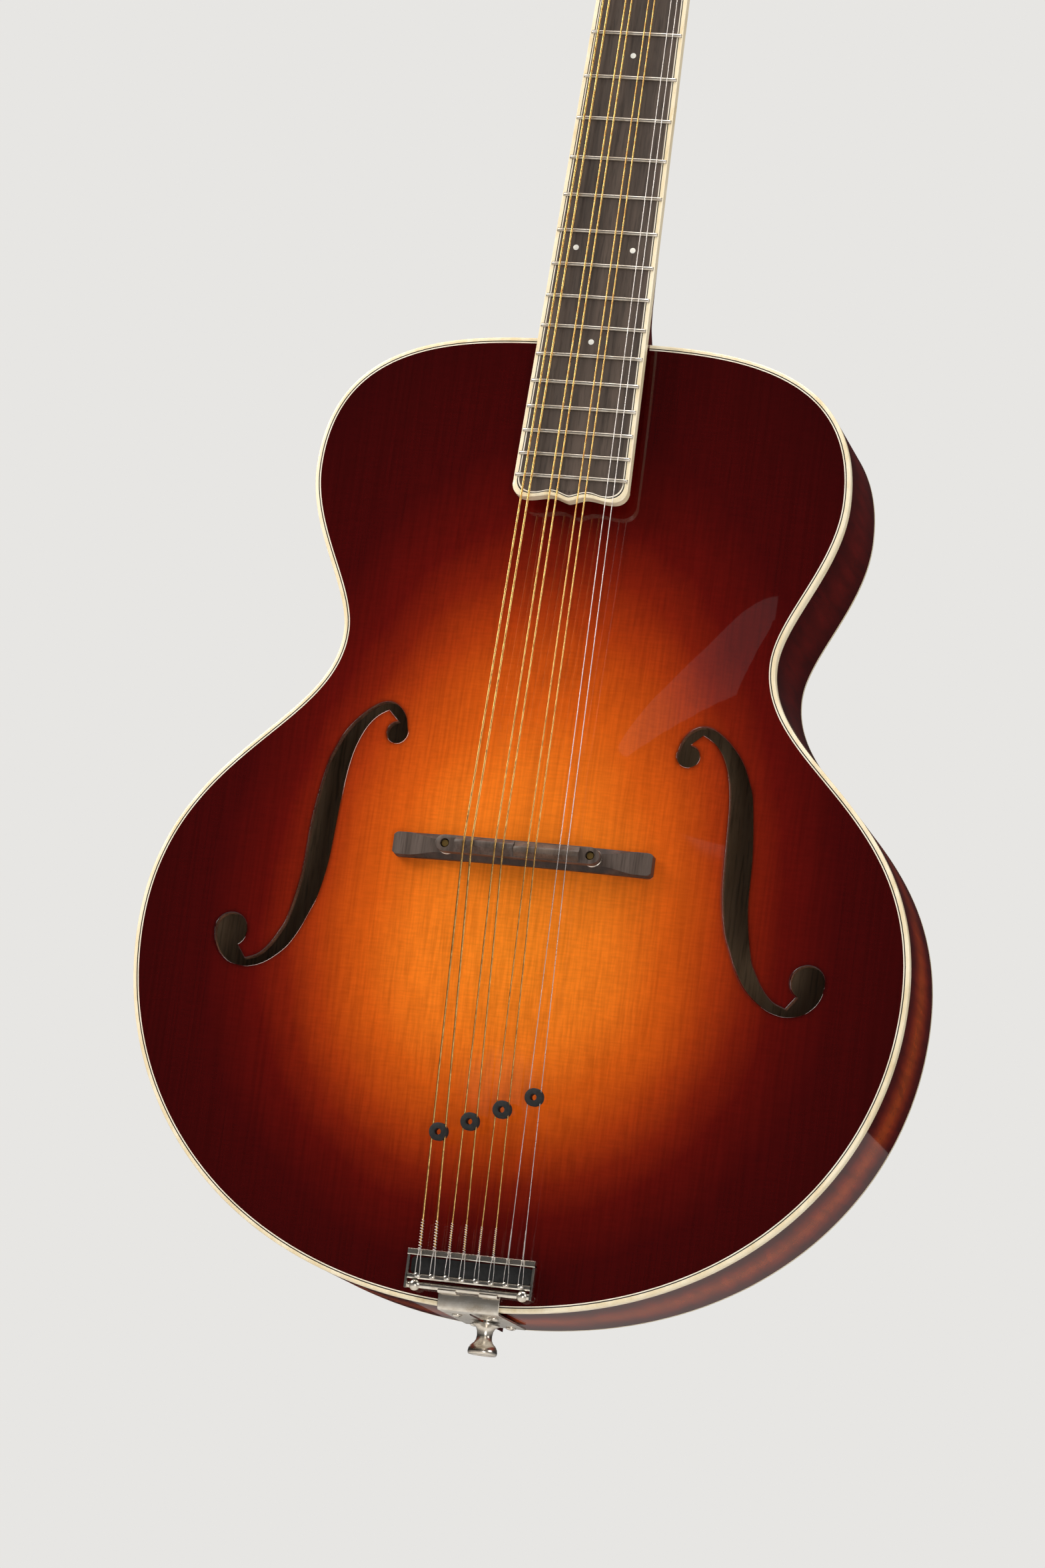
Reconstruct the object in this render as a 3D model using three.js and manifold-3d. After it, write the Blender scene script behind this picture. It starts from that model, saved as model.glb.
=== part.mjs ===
// Archtop bouzouki with four double courses, a carved hollow body and a floating bridge.
// Millimetres. The instrument stands upright: +Z runs up the neck, the top faces -Y, +X is the treble side.
// The pieces are drawn as the instrument lies on a bench: x across it towards the treble side,
// y along it towards the headstock with 0 at the nut, z out of the top with 0 at the edge of the top.
import * as THREE from 'three';
import { mergeVertices } from 'three/addons/utils/BufferGeometryUtils.js';
import Module from 'manifold-3d';

const degrees = Math.PI / 180;
const gap = 0.3;                    // left between pieces that touch

// Strings and neck
const scaleLength = 628.65;
const fretCount = 20;
const neckPitch = 2.74 * degrees;   // the board rises towards the bridge
const boardAtNut = -1.8;            // height of the board's face at the nut
const boardThickness = 6.3;
const boardHalfAtNut = 20.9;
const boardWidening = 0.0221;       // half width gained per millimetre of length
const boardEnd = -442.5;
const boardBinding = 2.0;
const fretHeight = 1.1;
const headTilt = 13 * degrees;
const headStart = 5.3;
const headFace = -5.0;              // height of the headstock's face behind the nut
const veneerThickness = 2.0;
const headThickness = 13.0;

// Body
const shoulder = -351;
const upperBout = { half: 142.5, at: -428 };
const waist = { half: 115, at: -516 };
const lowerBout = { half: 203, at: -682 };
const tail = -859.5;
const rimDepth = 81.5;
const sideThickness = 2.3;
const topBindingDepth = 6.0;
const backBindingDepth = 3.0;
const bindingWidth = 2.0;
const plateThickness = 4.5;
const topArch = 14;
const backArch = 15;
const archCentre = new THREE.Vector2(0, -612);
const crownHalf = { across: 168, along: 235 };   // the oval that the arch has near its centre
const liningWidth = 6;
const liningDepth = 14;
const outlineSteps = 28;            // points along one side of the outline
const archRings = [0.2, 0.4, 0.6, 0.78, 0.91, 1];

// Bridge, tailpiece and strings
const bridgeLine = -628;
const bridgeHalf = 68;
const bridgeWidth = 12.6;
const postAt = 38;
const postRadius = 2;
const postBore = 2.35;
const saddleBottom = 21.5;
const saddleTop = 30.6;
const stringAtSaddle = 31.3;
const courseRadii = [0.55, 0.45, 0.38, 0.2];
const tailHalf = 33.1;
const tailBar = -834.1;
const stringAtTail = 8.9;

// Tuners
const tunerPitch = 27;
const firstTuner = 42;
const tunerSide = 25;
const gearTeeth = 15;
const gearRadius = 4.5;
const wormOffset = 6.8;
const wormLevel = -18.8;

const wasm = await Module();
wasm.setup();

// ---- geometry helpers ----

function solidOf(geometry) {
  const bare = geometry.clone();
  bare.deleteAttribute('normal');
  bare.deleteAttribute('uv');
  const merged = mergeVertices(bare, 1e-4);
  const vertProperties = new Float32Array(merged.attributes.position.array);
  const triVerts = new Uint32Array(merged.index.array);
  return new wasm.Manifold(new wasm.Mesh({ numProp: 3, vertProperties, triVerts }));
}

function geometryOf(solid) {
  const mesh = solid.getMesh();
  const geometry = new THREE.BufferGeometry();
  geometry.setAttribute('position', new THREE.BufferAttribute(mesh.vertProperties, 3));
  geometry.setIndex(new THREE.BufferAttribute(mesh.triVerts, 1));
  geometry.computeVertexNormals();
  return geometry;
}

function join(...geometries) {
  return geometryOf(geometries.map(solidOf).reduce((whole, piece) => whole.add(piece)));
}

function cut(geometry, ...tools) {
  return geometryOf(tools.map(solidOf).reduce((whole, tool) => whole.subtract(tool), solidOf(geometry)));
}

function common(geometry, other) {
  return geometryOf(solidOf(geometry).intersect(solidOf(other)));
}

// Skins a stack of rings that all have the same number of points, and closes both ends
function skin(rings) {
  const count = rings[0].length;
  const points = rings.flat();
  const triangles = [];
  for (let ring = 0; ring < rings.length - 1; ring++) {
    for (let i = 0; i < count; i++) {
      const a = ring * count + i;
      const b = ring * count + (i + 1) % count;
      triangles.push(a, b, b + count, a, b + count, a + count);
    }
  }
  const closeEnd = (first, turned) => {
    const centre = new THREE.Vector3();
    for (let i = 0; i < count; i++) centre.addScaledVector(points[first + i], 1 / count);
    points.push(centre);
    for (let i = 0; i < count; i++) {
      const a = first + i;
      const b = first + (i + 1) % count;
      triangles.push(...(turned ? [a, points.length - 1, b] : [a, b, points.length - 1]));
    }
  };
  const last = (rings.length - 1) * count;
  closeEnd(0, true);
  closeEnd(last, false);
  let volume = 0;
  for (let i = 0; i < triangles.length; i += 3) {
    const [a, b, c] = [0, 1, 2].map((k) => points[triangles[i + k]]);
    volume += a.dot(new THREE.Vector3().crossVectors(b, c));
  }
  const geometry = new THREE.BufferGeometry().setFromPoints(points);
  geometry.setIndex(volume > 0 ? triangles : triangles.reverse());
  geometry.computeVertexNormals();
  return geometry;
}

function prism(shape, bottom, top, curveSegments = 8) {
  const geometry = new THREE.ExtrudeGeometry(shape, { depth: top - bottom, bevelEnabled: false, curveSegments });
  return geometry.translate(0, 0, bottom);
}

function block(x0, x1, y0, y1, z0, z1) {
  const geometry = new THREE.BoxGeometry(x1 - x0, y1 - y0, z1 - z0);
  return geometry.translate((x0 + x1) / 2, (y0 + y1) / 2, (z0 + z1) / 2);
}

// Upright cylinder, along z
function pillar(x, y, z0, z1, radius, sides = 12) {
  const geometry = new THREE.CylinderGeometry(radius, radius, z1 - z0, sides);
  return geometry.rotateX(Math.PI / 2).translate(x, y, (z0 + z1) / 2);
}

// Round bar along x
function crossbar(x0, x1, y, z, radius, sides = 12) {
  const geometry = new THREE.CylinderGeometry(radius, radius, x1 - x0, sides);
  return geometry.rotateZ(Math.PI / 2).translate((x0 + x1) / 2, y, z);
}

// Round wire through points, with its corners mitred
function wire(points, radius, sides = 8) {
  const rings = points.map((point, i) => {
    const before = points[Math.max(i - 1, 0)];
    const after = points[Math.min(i + 1, points.length - 1)];
    const along = new THREE.Vector3().subVectors(after, before).normalize();
    const across = new THREE.Vector3().crossVectors(along, new THREE.Vector3(0, 0, 1)).normalize();
    const up = new THREE.Vector3().crossVectors(across, along);
    return Array.from({ length: sides }, (_, k) => {
      const turn = (2 * Math.PI * k) / sides;
      return point.clone().addScaledVector(across, radius * Math.cos(turn)).addScaledVector(up, radius * Math.sin(turn));
    });
  });
  return skin(rings);
}

// ---- body outline and arch ----

const flat = (x, y) => new THREE.Vector2(x, y);

// The treble side from the neck joint to the tail, as four Bezier stretches that meet on its widest and
// narrowest places
function sideCurve() {
  const path = new THREE.CurvePath();
  const stretch = (...ends) => path.add(new THREE.CubicBezierCurve(...ends));
  stretch(flat(0, shoulder), flat(53, shoulder), flat(upperBout.half, upperBout.at + 82.5),
    flat(upperBout.half, upperBout.at));
  stretch(flat(upperBout.half, upperBout.at), flat(upperBout.half, upperBout.at - 35),
    flat(waist.half, waist.at + 24), flat(waist.half, waist.at));
  stretch(flat(waist.half, waist.at), flat(waist.half, waist.at - 52.5),
    flat(lowerBout.half, lowerBout.at + 98), flat(lowerBout.half, lowerBout.at));
  stretch(flat(lowerBout.half, lowerBout.at), flat(lowerBout.half, lowerBout.at - 97.5), flat(124, tail),
    flat(0, tail));
  return path;
}

const trebleSide = sideCurve().getSpacedPoints(outlineSteps);
const outline = [...trebleSide, ...trebleSide.slice(1, -1).reverse().map((p) => flat(-p.x, p.y))];

// The outline moved inwards by a distance
function inset(distance) {
  return outline.map((point, i) => {
    const before = outline[(i + outline.length - 1) % outline.length];
    const after = outline[(i + 1) % outline.length];
    const along = after.clone().sub(before).normalize();
    return flat(point.x + along.y * distance, point.y - along.x * distance);
  });
}

const plateEdge = inset(bindingWidth + gap);

// A level line of the arch: the plate's edge at share 1, and closer to the crown's oval further in
function archRing(share, height) {
  return plateEdge.map((p) => {
    const spoke = p.clone().sub(archCentre);
    const oval = 1 / Math.hypot(spoke.x / crownHalf.across, spoke.y / crownHalf.along);
    spoke.multiplyScalar(share * (share + (1 - share) * oval));
    return new THREE.Vector3(archCentre.x + spoke.x, archCentre.y + spoke.y, height);
  });
}

const archAt = (share, rise) => rise * Math.cos((Math.PI / 2) * share) ** 2;

// A carved plate between two arched faces; side is 1 for the top and -1 for the back
function archedPlate(edgeLevel, rise, side) {
  const inner = archRings.map((share) => archRing(share, edgeLevel + side * (archAt(share, rise) - plateThickness)));
  const outer = archRings.map((share) => archRing(share, edgeLevel + side * archAt(share, rise)));
  return skin([...inner, ...outer.reverse()]);
}

// Everything under the top's outer face raised by a distance
function underTop(raised) {
  const face = archRings.map((share) => archRing(share, archAt(share, topArch) + raised));
  return skin([...face, archRing(1, -40)]);
}

function ring(outerInset, innerInset, bottom, top) {
  const shape = new THREE.Shape(inset(outerInset));
  shape.holes.push(new THREE.Path(inset(innerInset).reverse()));
  return prism(shape, bottom, top);
}

// ---- body pieces ----

// One sound hole: a slender stem that curls into a small eye above and a large eye below
const upperEye = { x: 77, y: -568.4, radius: 5.8 };
const lowerEye = { x: 151.8, y: -678.2, radius: 8.7 };

function soundHole(side) {
  const outerEdge = [[71.6, -566.5], [76, -556], [81.6, -552.6], [87.5, -552.9], [94, -556.7], [105.5, -569.7],
    [112.7, -588.7], [116.3, -616.2], [117.4, -644.7], [121.6, -668.3], [130, -684.7], [135.5, -690.1], [142.4, -692.6]];
  const innerEdge = [[159.8, -681.5], [157.3, -688.5], [150.5, -695], [143.3, -696.5], [132.2, -694], [120.3, -684.2],
    [110.4, -665.1], [105.1, -648.2], [103.2, -630], [102.2, -606.6], [100.5, -584.4], [95.9, -569.1], [88.4, -559.2],
    [83.4, -556.2]];
  const smooth = (edge) => new THREE.SplineCurve(edge.map(([x, y]) => flat(side * x, y))).getPoints(edge.length + 6);
  const intoLowerEye = [flat(side * 147.6, -686.2), flat(side * lowerEye.x, lowerEye.y)];
  const intoUpperEye = [flat(side * 77, -562.3), flat(side * 80, -564.5), flat(side * upperEye.x, upperEye.y)];
  const outline = [...smooth(outerEdge), ...intoLowerEye, ...smooth(innerEdge), ...intoUpperEye];
  const eyes = [upperEye, lowerEye].map((eye) => pillar(side * eye.x, eye.y, -12, 20, eye.radius, 14));
  return join(prism(new THREE.Shape(outline), -12, 20), ...eyes);
}

const topPlate = cut(archedPlate(0, topArch, 1), soundHole(1), soundHole(-1));
const backPlate = archedPlate(-rimDepth, backArch, -1);

const endPinLevel = -rimDepth / 2;
const endPinBore = new THREE.CylinderGeometry(4.6, 4.6, 60, 12).translate(0, tail + 10, endPinLevel);

function rimHalf(side) {
  const bottom = -rimDepth + backBindingDepth + gap;
  const whole = ring(0, sideThickness, bottom, -topBindingDepth - gap);
  const otherSide = side > 0 ? block(-300, gap / 2, -900, -300, -120, 40) : block(-gap / 2, 300, -900, -300, -120, 40);
  return cut(whole, otherSide, endPinBore);
}

const insideSides = prism(new THREE.Shape(inset(sideThickness + gap)), -rimDepth - 5, 5);
const blockTop = -plateThickness - gap;
const blockBottom = -rimDepth + plateThickness + gap;
const neckBlockHalf = 33;
const neckBlock = common(block(-neckBlockHalf, neckBlockHalf, -396, -340, blockBottom, blockTop), insideSides);
const tailBlock = cut(common(block(-30, 30, -880, -836, blockBottom, blockTop), insideSides), endPinBore);

function lining(bottom, top) {
  const whole = ring(sideThickness + gap, sideThickness + gap + liningWidth, bottom, top);
  const wide = neckBlockHalf + gap;
  return cut(whole, block(-wide, wide, -396 - gap, -300, -120, 40), block(-30 - gap, 30 + gap, -900, -836 + gap, -120, 40));
}

// The lining is open at the neck block and the tail block, so each plate has one on each side
function liningHalf(side, bottom, top) {
  const otherSide = side > 0 ? block(-300, 0, -900, -300, -120, 40) : block(0, 300, -900, -300, -120, 40);
  return cut(lining(bottom, top), otherSide);
}

// Spruce bars under the top, spreading slightly towards the tail
function toneBar(side) {
  const bar = block(-4, 4, -790, -440, -6, 20);
  bar.translate(0, 615, 0).rotateZ(side * 2.2 * degrees).translate(side * 42, -615, 0);
  return common(bar, underTop(-plateThickness - 2 * gap));
}

// ---- neck ----

const neckMatrix = new THREE.Matrix4().makeRotationX(-neckPitch).setPosition(0, 0, boardAtNut);
const headMatrix = neckMatrix.clone().multiply(
  new THREE.Matrix4().makeRotationX(-headTilt).setPosition(0, headStart, headFace));

const onNeck = (geometry) => geometry.applyMatrix4(neckMatrix);
const onHead = (geometry) => geometry.applyMatrix4(headMatrix);
const neckPoint = (x, y, z) => new THREE.Vector3(x, y, z).applyMatrix4(neckMatrix);
const headPoint = (x, y, z) => new THREE.Vector3(x, y, z).applyMatrix4(headMatrix);

const boardHalf = (y) => boardHalfAtNut - boardWidening * y;
const fretAt = (number) => -scaleLength * (1 - 2 ** (-number / 12));

// The neck's section at one place: flat on top, round below, squarer where the heel is deep
function neckSection({ at, top, depth, half, squareness = 2 }) {
  const points = 12;
  return Array.from({ length: points }, (_, i) => {
    const turn = (Math.PI * i) / (points - 1);
    const across = Math.sign(Math.cos(turn)) * Math.abs(Math.cos(turn)) ** (2 / squareness);
    const down = Math.max(Math.sin(turn), 0) ** (2 / squareness);
    return new THREE.Vector3(half * across, at, top - depth * down);
  });
}

const boardUnderside = -boardThickness - gap;
const shaftHalf = (y) => boardHalf(y) - 0.4;
const neckStations = [
  { at: 22, top: -11.6, depth: 8, half: 22 },
  { at: 8, top: -8.2, depth: 13.5, half: 21.5 },
  { at: 0, top: boardUnderside, depth: 14.8, half: shaftHalf(0) },
  { at: -35, top: boardUnderside, depth: 14.6, half: shaftHalf(-35) },
  { at: -290, top: boardUnderside, depth: 17, half: shaftHalf(-290) },
  { at: -308, top: boardUnderside, depth: 19.5, half: shaftHalf(-308), squareness: 2 },
  { at: -322, top: boardUnderside, depth: 28, half: shaftHalf(-322), squareness: 1.8 },
  { at: -332, top: boardUnderside, depth: 42, half: shaftHalf(-332), squareness: 1.6 },
  { at: -340, top: boardUnderside, depth: 62, half: shaftHalf(-340), squareness: 1.5 },
  { at: -346, top: boardUnderside, depth: 92, half: shaftHalf(-346), squareness: 1.45 },
  { at: -358, top: boardUnderside, depth: 110, half: shaftHalf(-358), squareness: 1.45 },
];

const shaft = onNeck(skin(neckStations.map(neckSection)));

// The headstock widens from the nut, runs almost parallel and ends in a shallow pointed crest
function headShape(margin) {
  const side = [[21.5, 0], [23, 8], [31, 24], [35.5, 34], [37.5, 90], [40.5, 158], [41.5, 170]];
  const crest = [[33, 176.5], [21, 174.5], [10, 176.5], [0, 183]];
  const half = [...side, ...crest].map(([x, y]) => flat(Math.max(x - margin, 0), y === 0 ? 0 : y - margin));
  return new THREE.Shape([...half, ...half.slice(0, -1).reverse().map((p) => flat(-p.x, p.y))]);
}

const tunerPlaces = [-1, 1].flatMap((side) =>
  Array.from({ length: 4 }, (_, i) => ({ side, number: i + 1, x: side * tunerSide, y: firstTuner + tunerPitch * i })));
const headBack = -veneerThickness - gap - headThickness;
const postBores = tunerPlaces.map(({ x, y }) => pillar(x, y, -40, 20, 3.7, 8));

const headCore = cut(prism(headShape(0), headBack, -veneerThickness - gap), ...postBores);
const veneer = cut(prism(headShape(0.4), -veneerThickness, 0), ...postBores);

const rodChannel = onNeck(block(-3.3, 3.3, -342, 2, boardUnderside - 9, 0));
const rod = onNeck(block(-3, 3, -341, 0, boardUnderside - 8.6, boardUnderside - 0.4));

const extension = onNeck(block(-25, 25, -436, -345, boardUnderside - 16, boardUnderside));
const bodyEnvelope = join(prism(new THREE.Shape(inset(-gap)), -120, gap), underTop(gap));
const heelBottom = -79;
const neck = cut(join(shaft, extension, onHead(headCore)), bodyEnvelope, rodChannel,
  block(-60, 60, -380, -250, -200, heelBottom));

function heelCap() {
  const shape = new THREE.Shape();
  shape.moveTo(-15, -345);
  shape.bezierCurveTo(-13, -338, -6, -332.5, 0, -332.5);
  shape.bezierCurveTo(6, -332.5, 13, -338, 15, -345);
  shape.lineTo(15, -352);
  shape.lineTo(-15, -352);
  return cut(prism(shape, -rimDepth, heelBottom - gap, 6), bodyEnvelope);
}

// The board's end dips on each side of a small point, and its corners are round
function boardShape(margin, start) {
  const side = (y) => boardHalf(y) - margin;
  const end = boardEnd + margin;
  const corner = side(end);
  const shape = new THREE.Shape();
  shape.moveTo(side(start), start);
  shape.lineTo(side(end + 8), end + 8);
  shape.quadraticCurveTo(corner - 0.3, end, corner - 8, end);
  shape.bezierCurveTo(corner - 13, end, 14, end + 1.7, 9.5, end + 1.7);
  shape.bezierCurveTo(6, end + 1.7, 3, end - 0.6, 0, end - 0.9);
  shape.bezierCurveTo(-3, end - 0.6, -6, end + 1.7, -9.5, end + 1.7);
  shape.bezierCurveTo(-14, end + 1.7, 13 - corner, end, 8 - corner, end);
  shape.quadraticCurveTo(0.3 - corner, end, -side(end + 8), end + 8);
  shape.lineTo(-side(start), start);
  return shape;
}

// Frets run over the binding; their tangs sit in the board
function fret(number) {
  const y = fretAt(number);
  const half = boardHalf(y) - 0.8;
  const section = new THREE.Shape([flat(-1.1, 0), flat(1.1, 0), flat(0.6, fretHeight), flat(-0.6, fretHeight)]);
  const crown = prism(section, -half, half).rotateX(Math.PI / 2).rotateZ(Math.PI / 2).translate(0, y, 0);
  return join(crown, block(-half + 3, half - 3, y - 0.3, y + 0.3, -1.5, 0.5));
}

const frets = Array.from({ length: fretCount }, (_, i) => fret(i + 1));
const board = join(prism(boardShape(boardBinding + gap, -gap), -boardThickness, 0, 4), ...frets);
const boardTrim = cut(prism(boardShape(0, -gap), -boardThickness, -gap, 4),
  prism(boardShape(boardBinding, 5), -boardThickness - 5, 5, 4));

// ---- bridge ----

function bridgeBase() {
  const profile = new THREE.Shape([flat(-bridgeHalf, 4), flat(bridgeHalf, 4), flat(bridgeHalf, 16.2),
    flat(51, 16.8), flat(46, 17.2), flat(-46, 17.2), flat(-51, 16.8), flat(-bridgeHalf, 16.2)]);
  const bar = prism(profile, -bridgeWidth / 2, bridgeWidth / 2).rotateX(Math.PI / 2).translate(0, bridgeLine, 0);
  return cut(bar, underTop(gap), ...[-postAt, postAt].map((x) => pillar(x, bridgeLine, 13.7, 30, postBore)));
}

function stadium(halfLength, radius) {
  const shape = new THREE.Shape();
  shape.absarc(halfLength - radius, 0, radius, -Math.PI / 2, Math.PI / 2);
  shape.absarc(radius - halfLength, 0, radius, Math.PI / 2, 1.5 * Math.PI);
  return shape;
}

function saddle() {
  const bar = prism(stadium(postAt + 5, 5), saddleBottom, 27.8, 6).translate(0, bridgeLine, 0);
  const crest = block(-29, 29, bridgeLine - 1.7, bridgeLine + 1.7, 26, saddleTop);
  return cut(join(bar, crest), ...[-postAt, postAt].map((x) => pillar(x, bridgeLine, 10, 40, postBore)));
}

function thumbwheel(x) {
  return cut(pillar(x, bridgeLine, 19.1, saddleBottom - gap, 5.6, 16), pillar(x, bridgeLine, 10, 40, postBore));
}

// ---- tailpiece ----

function tailpieceFrame() {
  const rail = (side) => block(side * tailHalf - (side > 0 ? 1.2 : 0), side * tailHalf + (side > 0 ? 0 : 1.2),
    -852, -835, 4.2, 7.4);
  const knob = (x) => new THREE.SphereGeometry(3, 8, 5).translate(x, -850.5, 5.2);
  return join(block(-tailHalf, tailHalf, -835.7, -832.5, 4.2, 8.2), block(-32.5, 32.5, -847.6, -845, 4.2, 7.4),
    rail(1), rail(-1), crossbar(-32.6, 32.6, -850.5, 5.2, 1.6, 8), knob(28), knob(-28));
}

function tailBracket() {
  const run = [flat(-852.7, 2), flat(-856, 1.9), flat(-860.5, 1.3), flat(-861.1, 0), flat(-861.1, -62)];
  const back = [flat(-859.9, -62), flat(-859.9, 0.4), flat(-856, 0.8), flat(-852.7, 0.9)];
  const section = new THREE.Shape([...run, ...back]);
  const strap = prism(section, -16, 16).rotateX(Math.PI / 2).rotateZ(Math.PI / 2);
  return cut(strap, endPinBore);
}

function endPin() {
  const profile = [[0, -18], [4, -18], [4, 2.05], [7.2, 2.05], [7.2, 3.4], [4.3, 5], [4, 11], [6.3, 13.5],
    [7.6, 17], [7, 18.5], [0, 18.5]];
  const pin = new THREE.LatheGeometry(profile.map(([r, y]) => flat(r, y)), 14);
  return pin.rotateX(Math.PI).translate(0, tail, endPinLevel);
}

// ---- strings and grommets ----

const pairShare = [-0.5, 0.5];
const courseAtNut = [-15.8, -5.3, 5.3, 15.8];
const courseAtSaddle = [-25, -8.5, 8.5, 25];

// String number 0 lies furthest on the bass side; the outermost strings go to the nearest posts
function stringRoute(number) {
  const course = Math.floor(number / 2);
  const pair = pairShare[number % 2];
  const radius = courseRadii[course];
  const side = number < 4 ? -1 : 1;
  const tuner = number < 4 ? number : 7 - number;
  const tailX = (number - 3.5) * 7.66;
  const saddleX = courseAtSaddle[course] + pair * 4.2;
  const nutX = courseAtNut[course] + pair * 2.9;
  const postY = firstTuner + tunerPitch * tuner;
  return [
    new THREE.Vector3(tailX, -846.3, stringAtTail - 1),
    new THREE.Vector3(tailX, tailBar, stringAtTail),
    new THREE.Vector3(saddleX, bridgeLine, stringAtSaddle),
    neckPoint(nutX, 0.5, 1.6 + radius),
    neckPoint(nutX, 4, 1.5 + radius),
    headPoint(side * (tunerSide - 3.3 - radius), postY, 6),
  ];
}

const stringLine = (number) => wire(stringRoute(number), courseRadii[Math.floor(number / 2)]);

const grommetLines = [-773.6, -767, -759.5, -751.8];

function grommet(course) {
  const y = grommetLines[course];
  const share = (y - tailBar) / (bridgeLine - tailBar);
  const z = stringAtTail + (stringAtSaddle - stringAtTail) * share;
  const tailX = (course - 1.5) * 15.32;
  const x = tailX + (courseAtSaddle[course] - tailX) * share;
  const profile = [[1.6, -2.7], [4.65, -2.7], [4.65, -1], [2.4, -0.9], [2.4, 0.9], [4.65, 1], [4.65, 2.7],
    [1.6, 2.7], [1.6, -2.7]];
  const body = new THREE.LatheGeometry(profile.map(([r, h]) => flat(r, h)), 12);
  const slope = Math.atan2(stringAtSaddle - stringAtTail, bridgeLine - tailBar);
  return body.rotateX(Math.PI / 2 + slope).translate(x, y, z);
}

// ---- tuners ----

function gearShape() {
  const shape = [];
  const tooth = (2 * Math.PI) / gearTeeth;
  for (let i = 0; i < gearTeeth; i++) {
    for (const [turn, radius] of [[0, gearRadius + 0.5], [0.5, gearRadius - 0.6]]) {
      shape.push(flat(radius * Math.cos((i + turn) * tooth), radius * Math.sin((i + turn) * tooth)));
    }
  }
  return new THREE.Shape(shape);
}

function tunerPost({ x, y }) {
  const gear = prism(gearShape(), headBack - 5, headBack - 2).translate(x, y, 0);
  return join(pillar(x, y, headBack - 4.8, 11.5, 3, 8), gear);
}

function tunerButton({ side, x, y }) {
  const shaftY = y + wormOffset;
  const inner = x - side * 8.5;
  const outer = side * 46;
  const spindle = crossbar(Math.min(inner, outer), Math.max(inner, outer), shaftY, wormLevel, 1.5, 8);
  const knob = new THREE.SphereGeometry(1, 10, 6).rotateZ(Math.PI / 2).scale(8, 8.5, 4.2);
  return join(spindle, knob.translate(side * 53, shaftY, wormLevel));
}

// A strip with two ears to each worm shaft
function tunerPlate(side) {
  const places = tunerPlaces.filter((place) => place.side === side);
  const x = side * tunerSide;
  const level = headBack - gap;
  const strip = block(x - 10, x + 10, places[0].y - 12, places[3].y + 16, level - 1.2, level);
  const ear = (place, offset) => {
    const middle = place.x + side * offset;
    return block(middle - 0.7, middle + 0.7, place.y + wormOffset - 3, place.y + wormOffset + 3, level - 6.4, level - 0.5);
  };
  const ears = places.flatMap((place) => [ear(place, -7), ear(place, 7)]);
  const bores = places.flatMap((place) => [
    pillar(place.x, place.y, level - 3, level + 3, 3.7, 8),
    crossbar(place.x - 15, place.x + 15, place.y + wormOffset, wormLevel, 1.95, 8),
  ]);
  return cut(join(strip, ...ears), ...bores);
}

function rodCover() {
  const shape = new THREE.Shape();
  shape.moveTo(-8, 3);
  shape.lineTo(8, 3);
  shape.bezierCurveTo(8.5, 12, 6.5, 18, 3, 22);
  shape.quadraticCurveTo(1, 25, 0, 28);
  shape.quadraticCurveTo(-1, 25, -3, 22);
  shape.bezierCurveTo(-6.5, 18, -8.5, 12, -8, 3);
  return prism(shape, gap, gap + 1.5, 5);
}

// ---- assembly ----

const instrument = new THREE.Group();
instrument.rotation.x = Math.PI / 2;
const neckGroup = new THREE.Group();
neckGroup.position.set(0, 0, boardAtNut);
neckGroup.rotation.x = -neckPitch;
const headGroup = new THREE.Group();
headGroup.position.set(0, headStart, headFace);
headGroup.rotation.x = -headTilt;
instrument.add(neckGroup);
neckGroup.add(headGroup);

const finish = (color, roughness, metalness = 0) => ({ color, roughness, metalness });
const sunburst = finish(0xc8601a, 0.15);
const darkLacquer = finish(0x3a0c08, 0.15);
const bareSpruce = finish(0xc9a46c, 0.7);
const bareMahogany = finish(0x8a5a38, 0.7);
const ivory = finish(0xe8dcc0, 0.35);
const bone = finish(0xeae2cc, 0.3);
const ebony = finish(0x2c221d, 0.5);
const nickel = finish(0xc8c6c0, 0.25, 1);
const brass = finish(0xb89a50, 0.3, 1);
const bronze = finish(0xc89a50, 0.3, 1);
const steel = finish(0xd0d0d0, 0.2, 1);
const blackRubber = finish(0x1c1e20, 0.8);

function place(group, name, geometry, look) {
  const mesh = new THREE.Mesh(geometry, new THREE.MeshStandardMaterial(look));
  mesh.name = name;
  group.add(mesh);
}

const sides = [['bass', -1], ['treble', 1]];

place(instrument, 'top_plate', topPlate, sunburst);
place(instrument, 'back_plate', backPlate, darkLacquer);
place(instrument, 'top_binding', ring(0, bindingWidth, -topBindingDepth, 0), ivory);
place(instrument, 'back_binding', ring(0, bindingWidth, -rimDepth, -rimDepth + backBindingDepth), ivory);
place(instrument, 'neck_block', neckBlock, bareMahogany);
place(instrument, 'tail_block', tailBlock, bareMahogany);
for (const [name, side] of sides) {
  place(instrument, `rim_${name}`, rimHalf(side), darkLacquer);
  place(instrument, `top_lining_${name}`, liningHalf(side, blockTop - liningDepth, blockTop), bareSpruce);
  place(instrument, `tone_bar_${name}`, toneBar(side), bareSpruce);
}

place(instrument, 'neck', neck, darkLacquer);
place(instrument, 'heel_cap', heelCap(), ivory);
place(instrument, 'truss_rod', rod, steel);
place(neckGroup, 'fingerboard', board, ebony);
place(neckGroup, 'fingerboard_binding', boardTrim, ivory);
place(neckGroup, 'nut', block(-20.6, 20.6, 0, 5, -boardThickness, 1.2), bone);
place(headGroup, 'headstock_veneer', veneer, ebony);
place(headGroup, 'truss_rod_cover', rodCover(), ebony);

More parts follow.
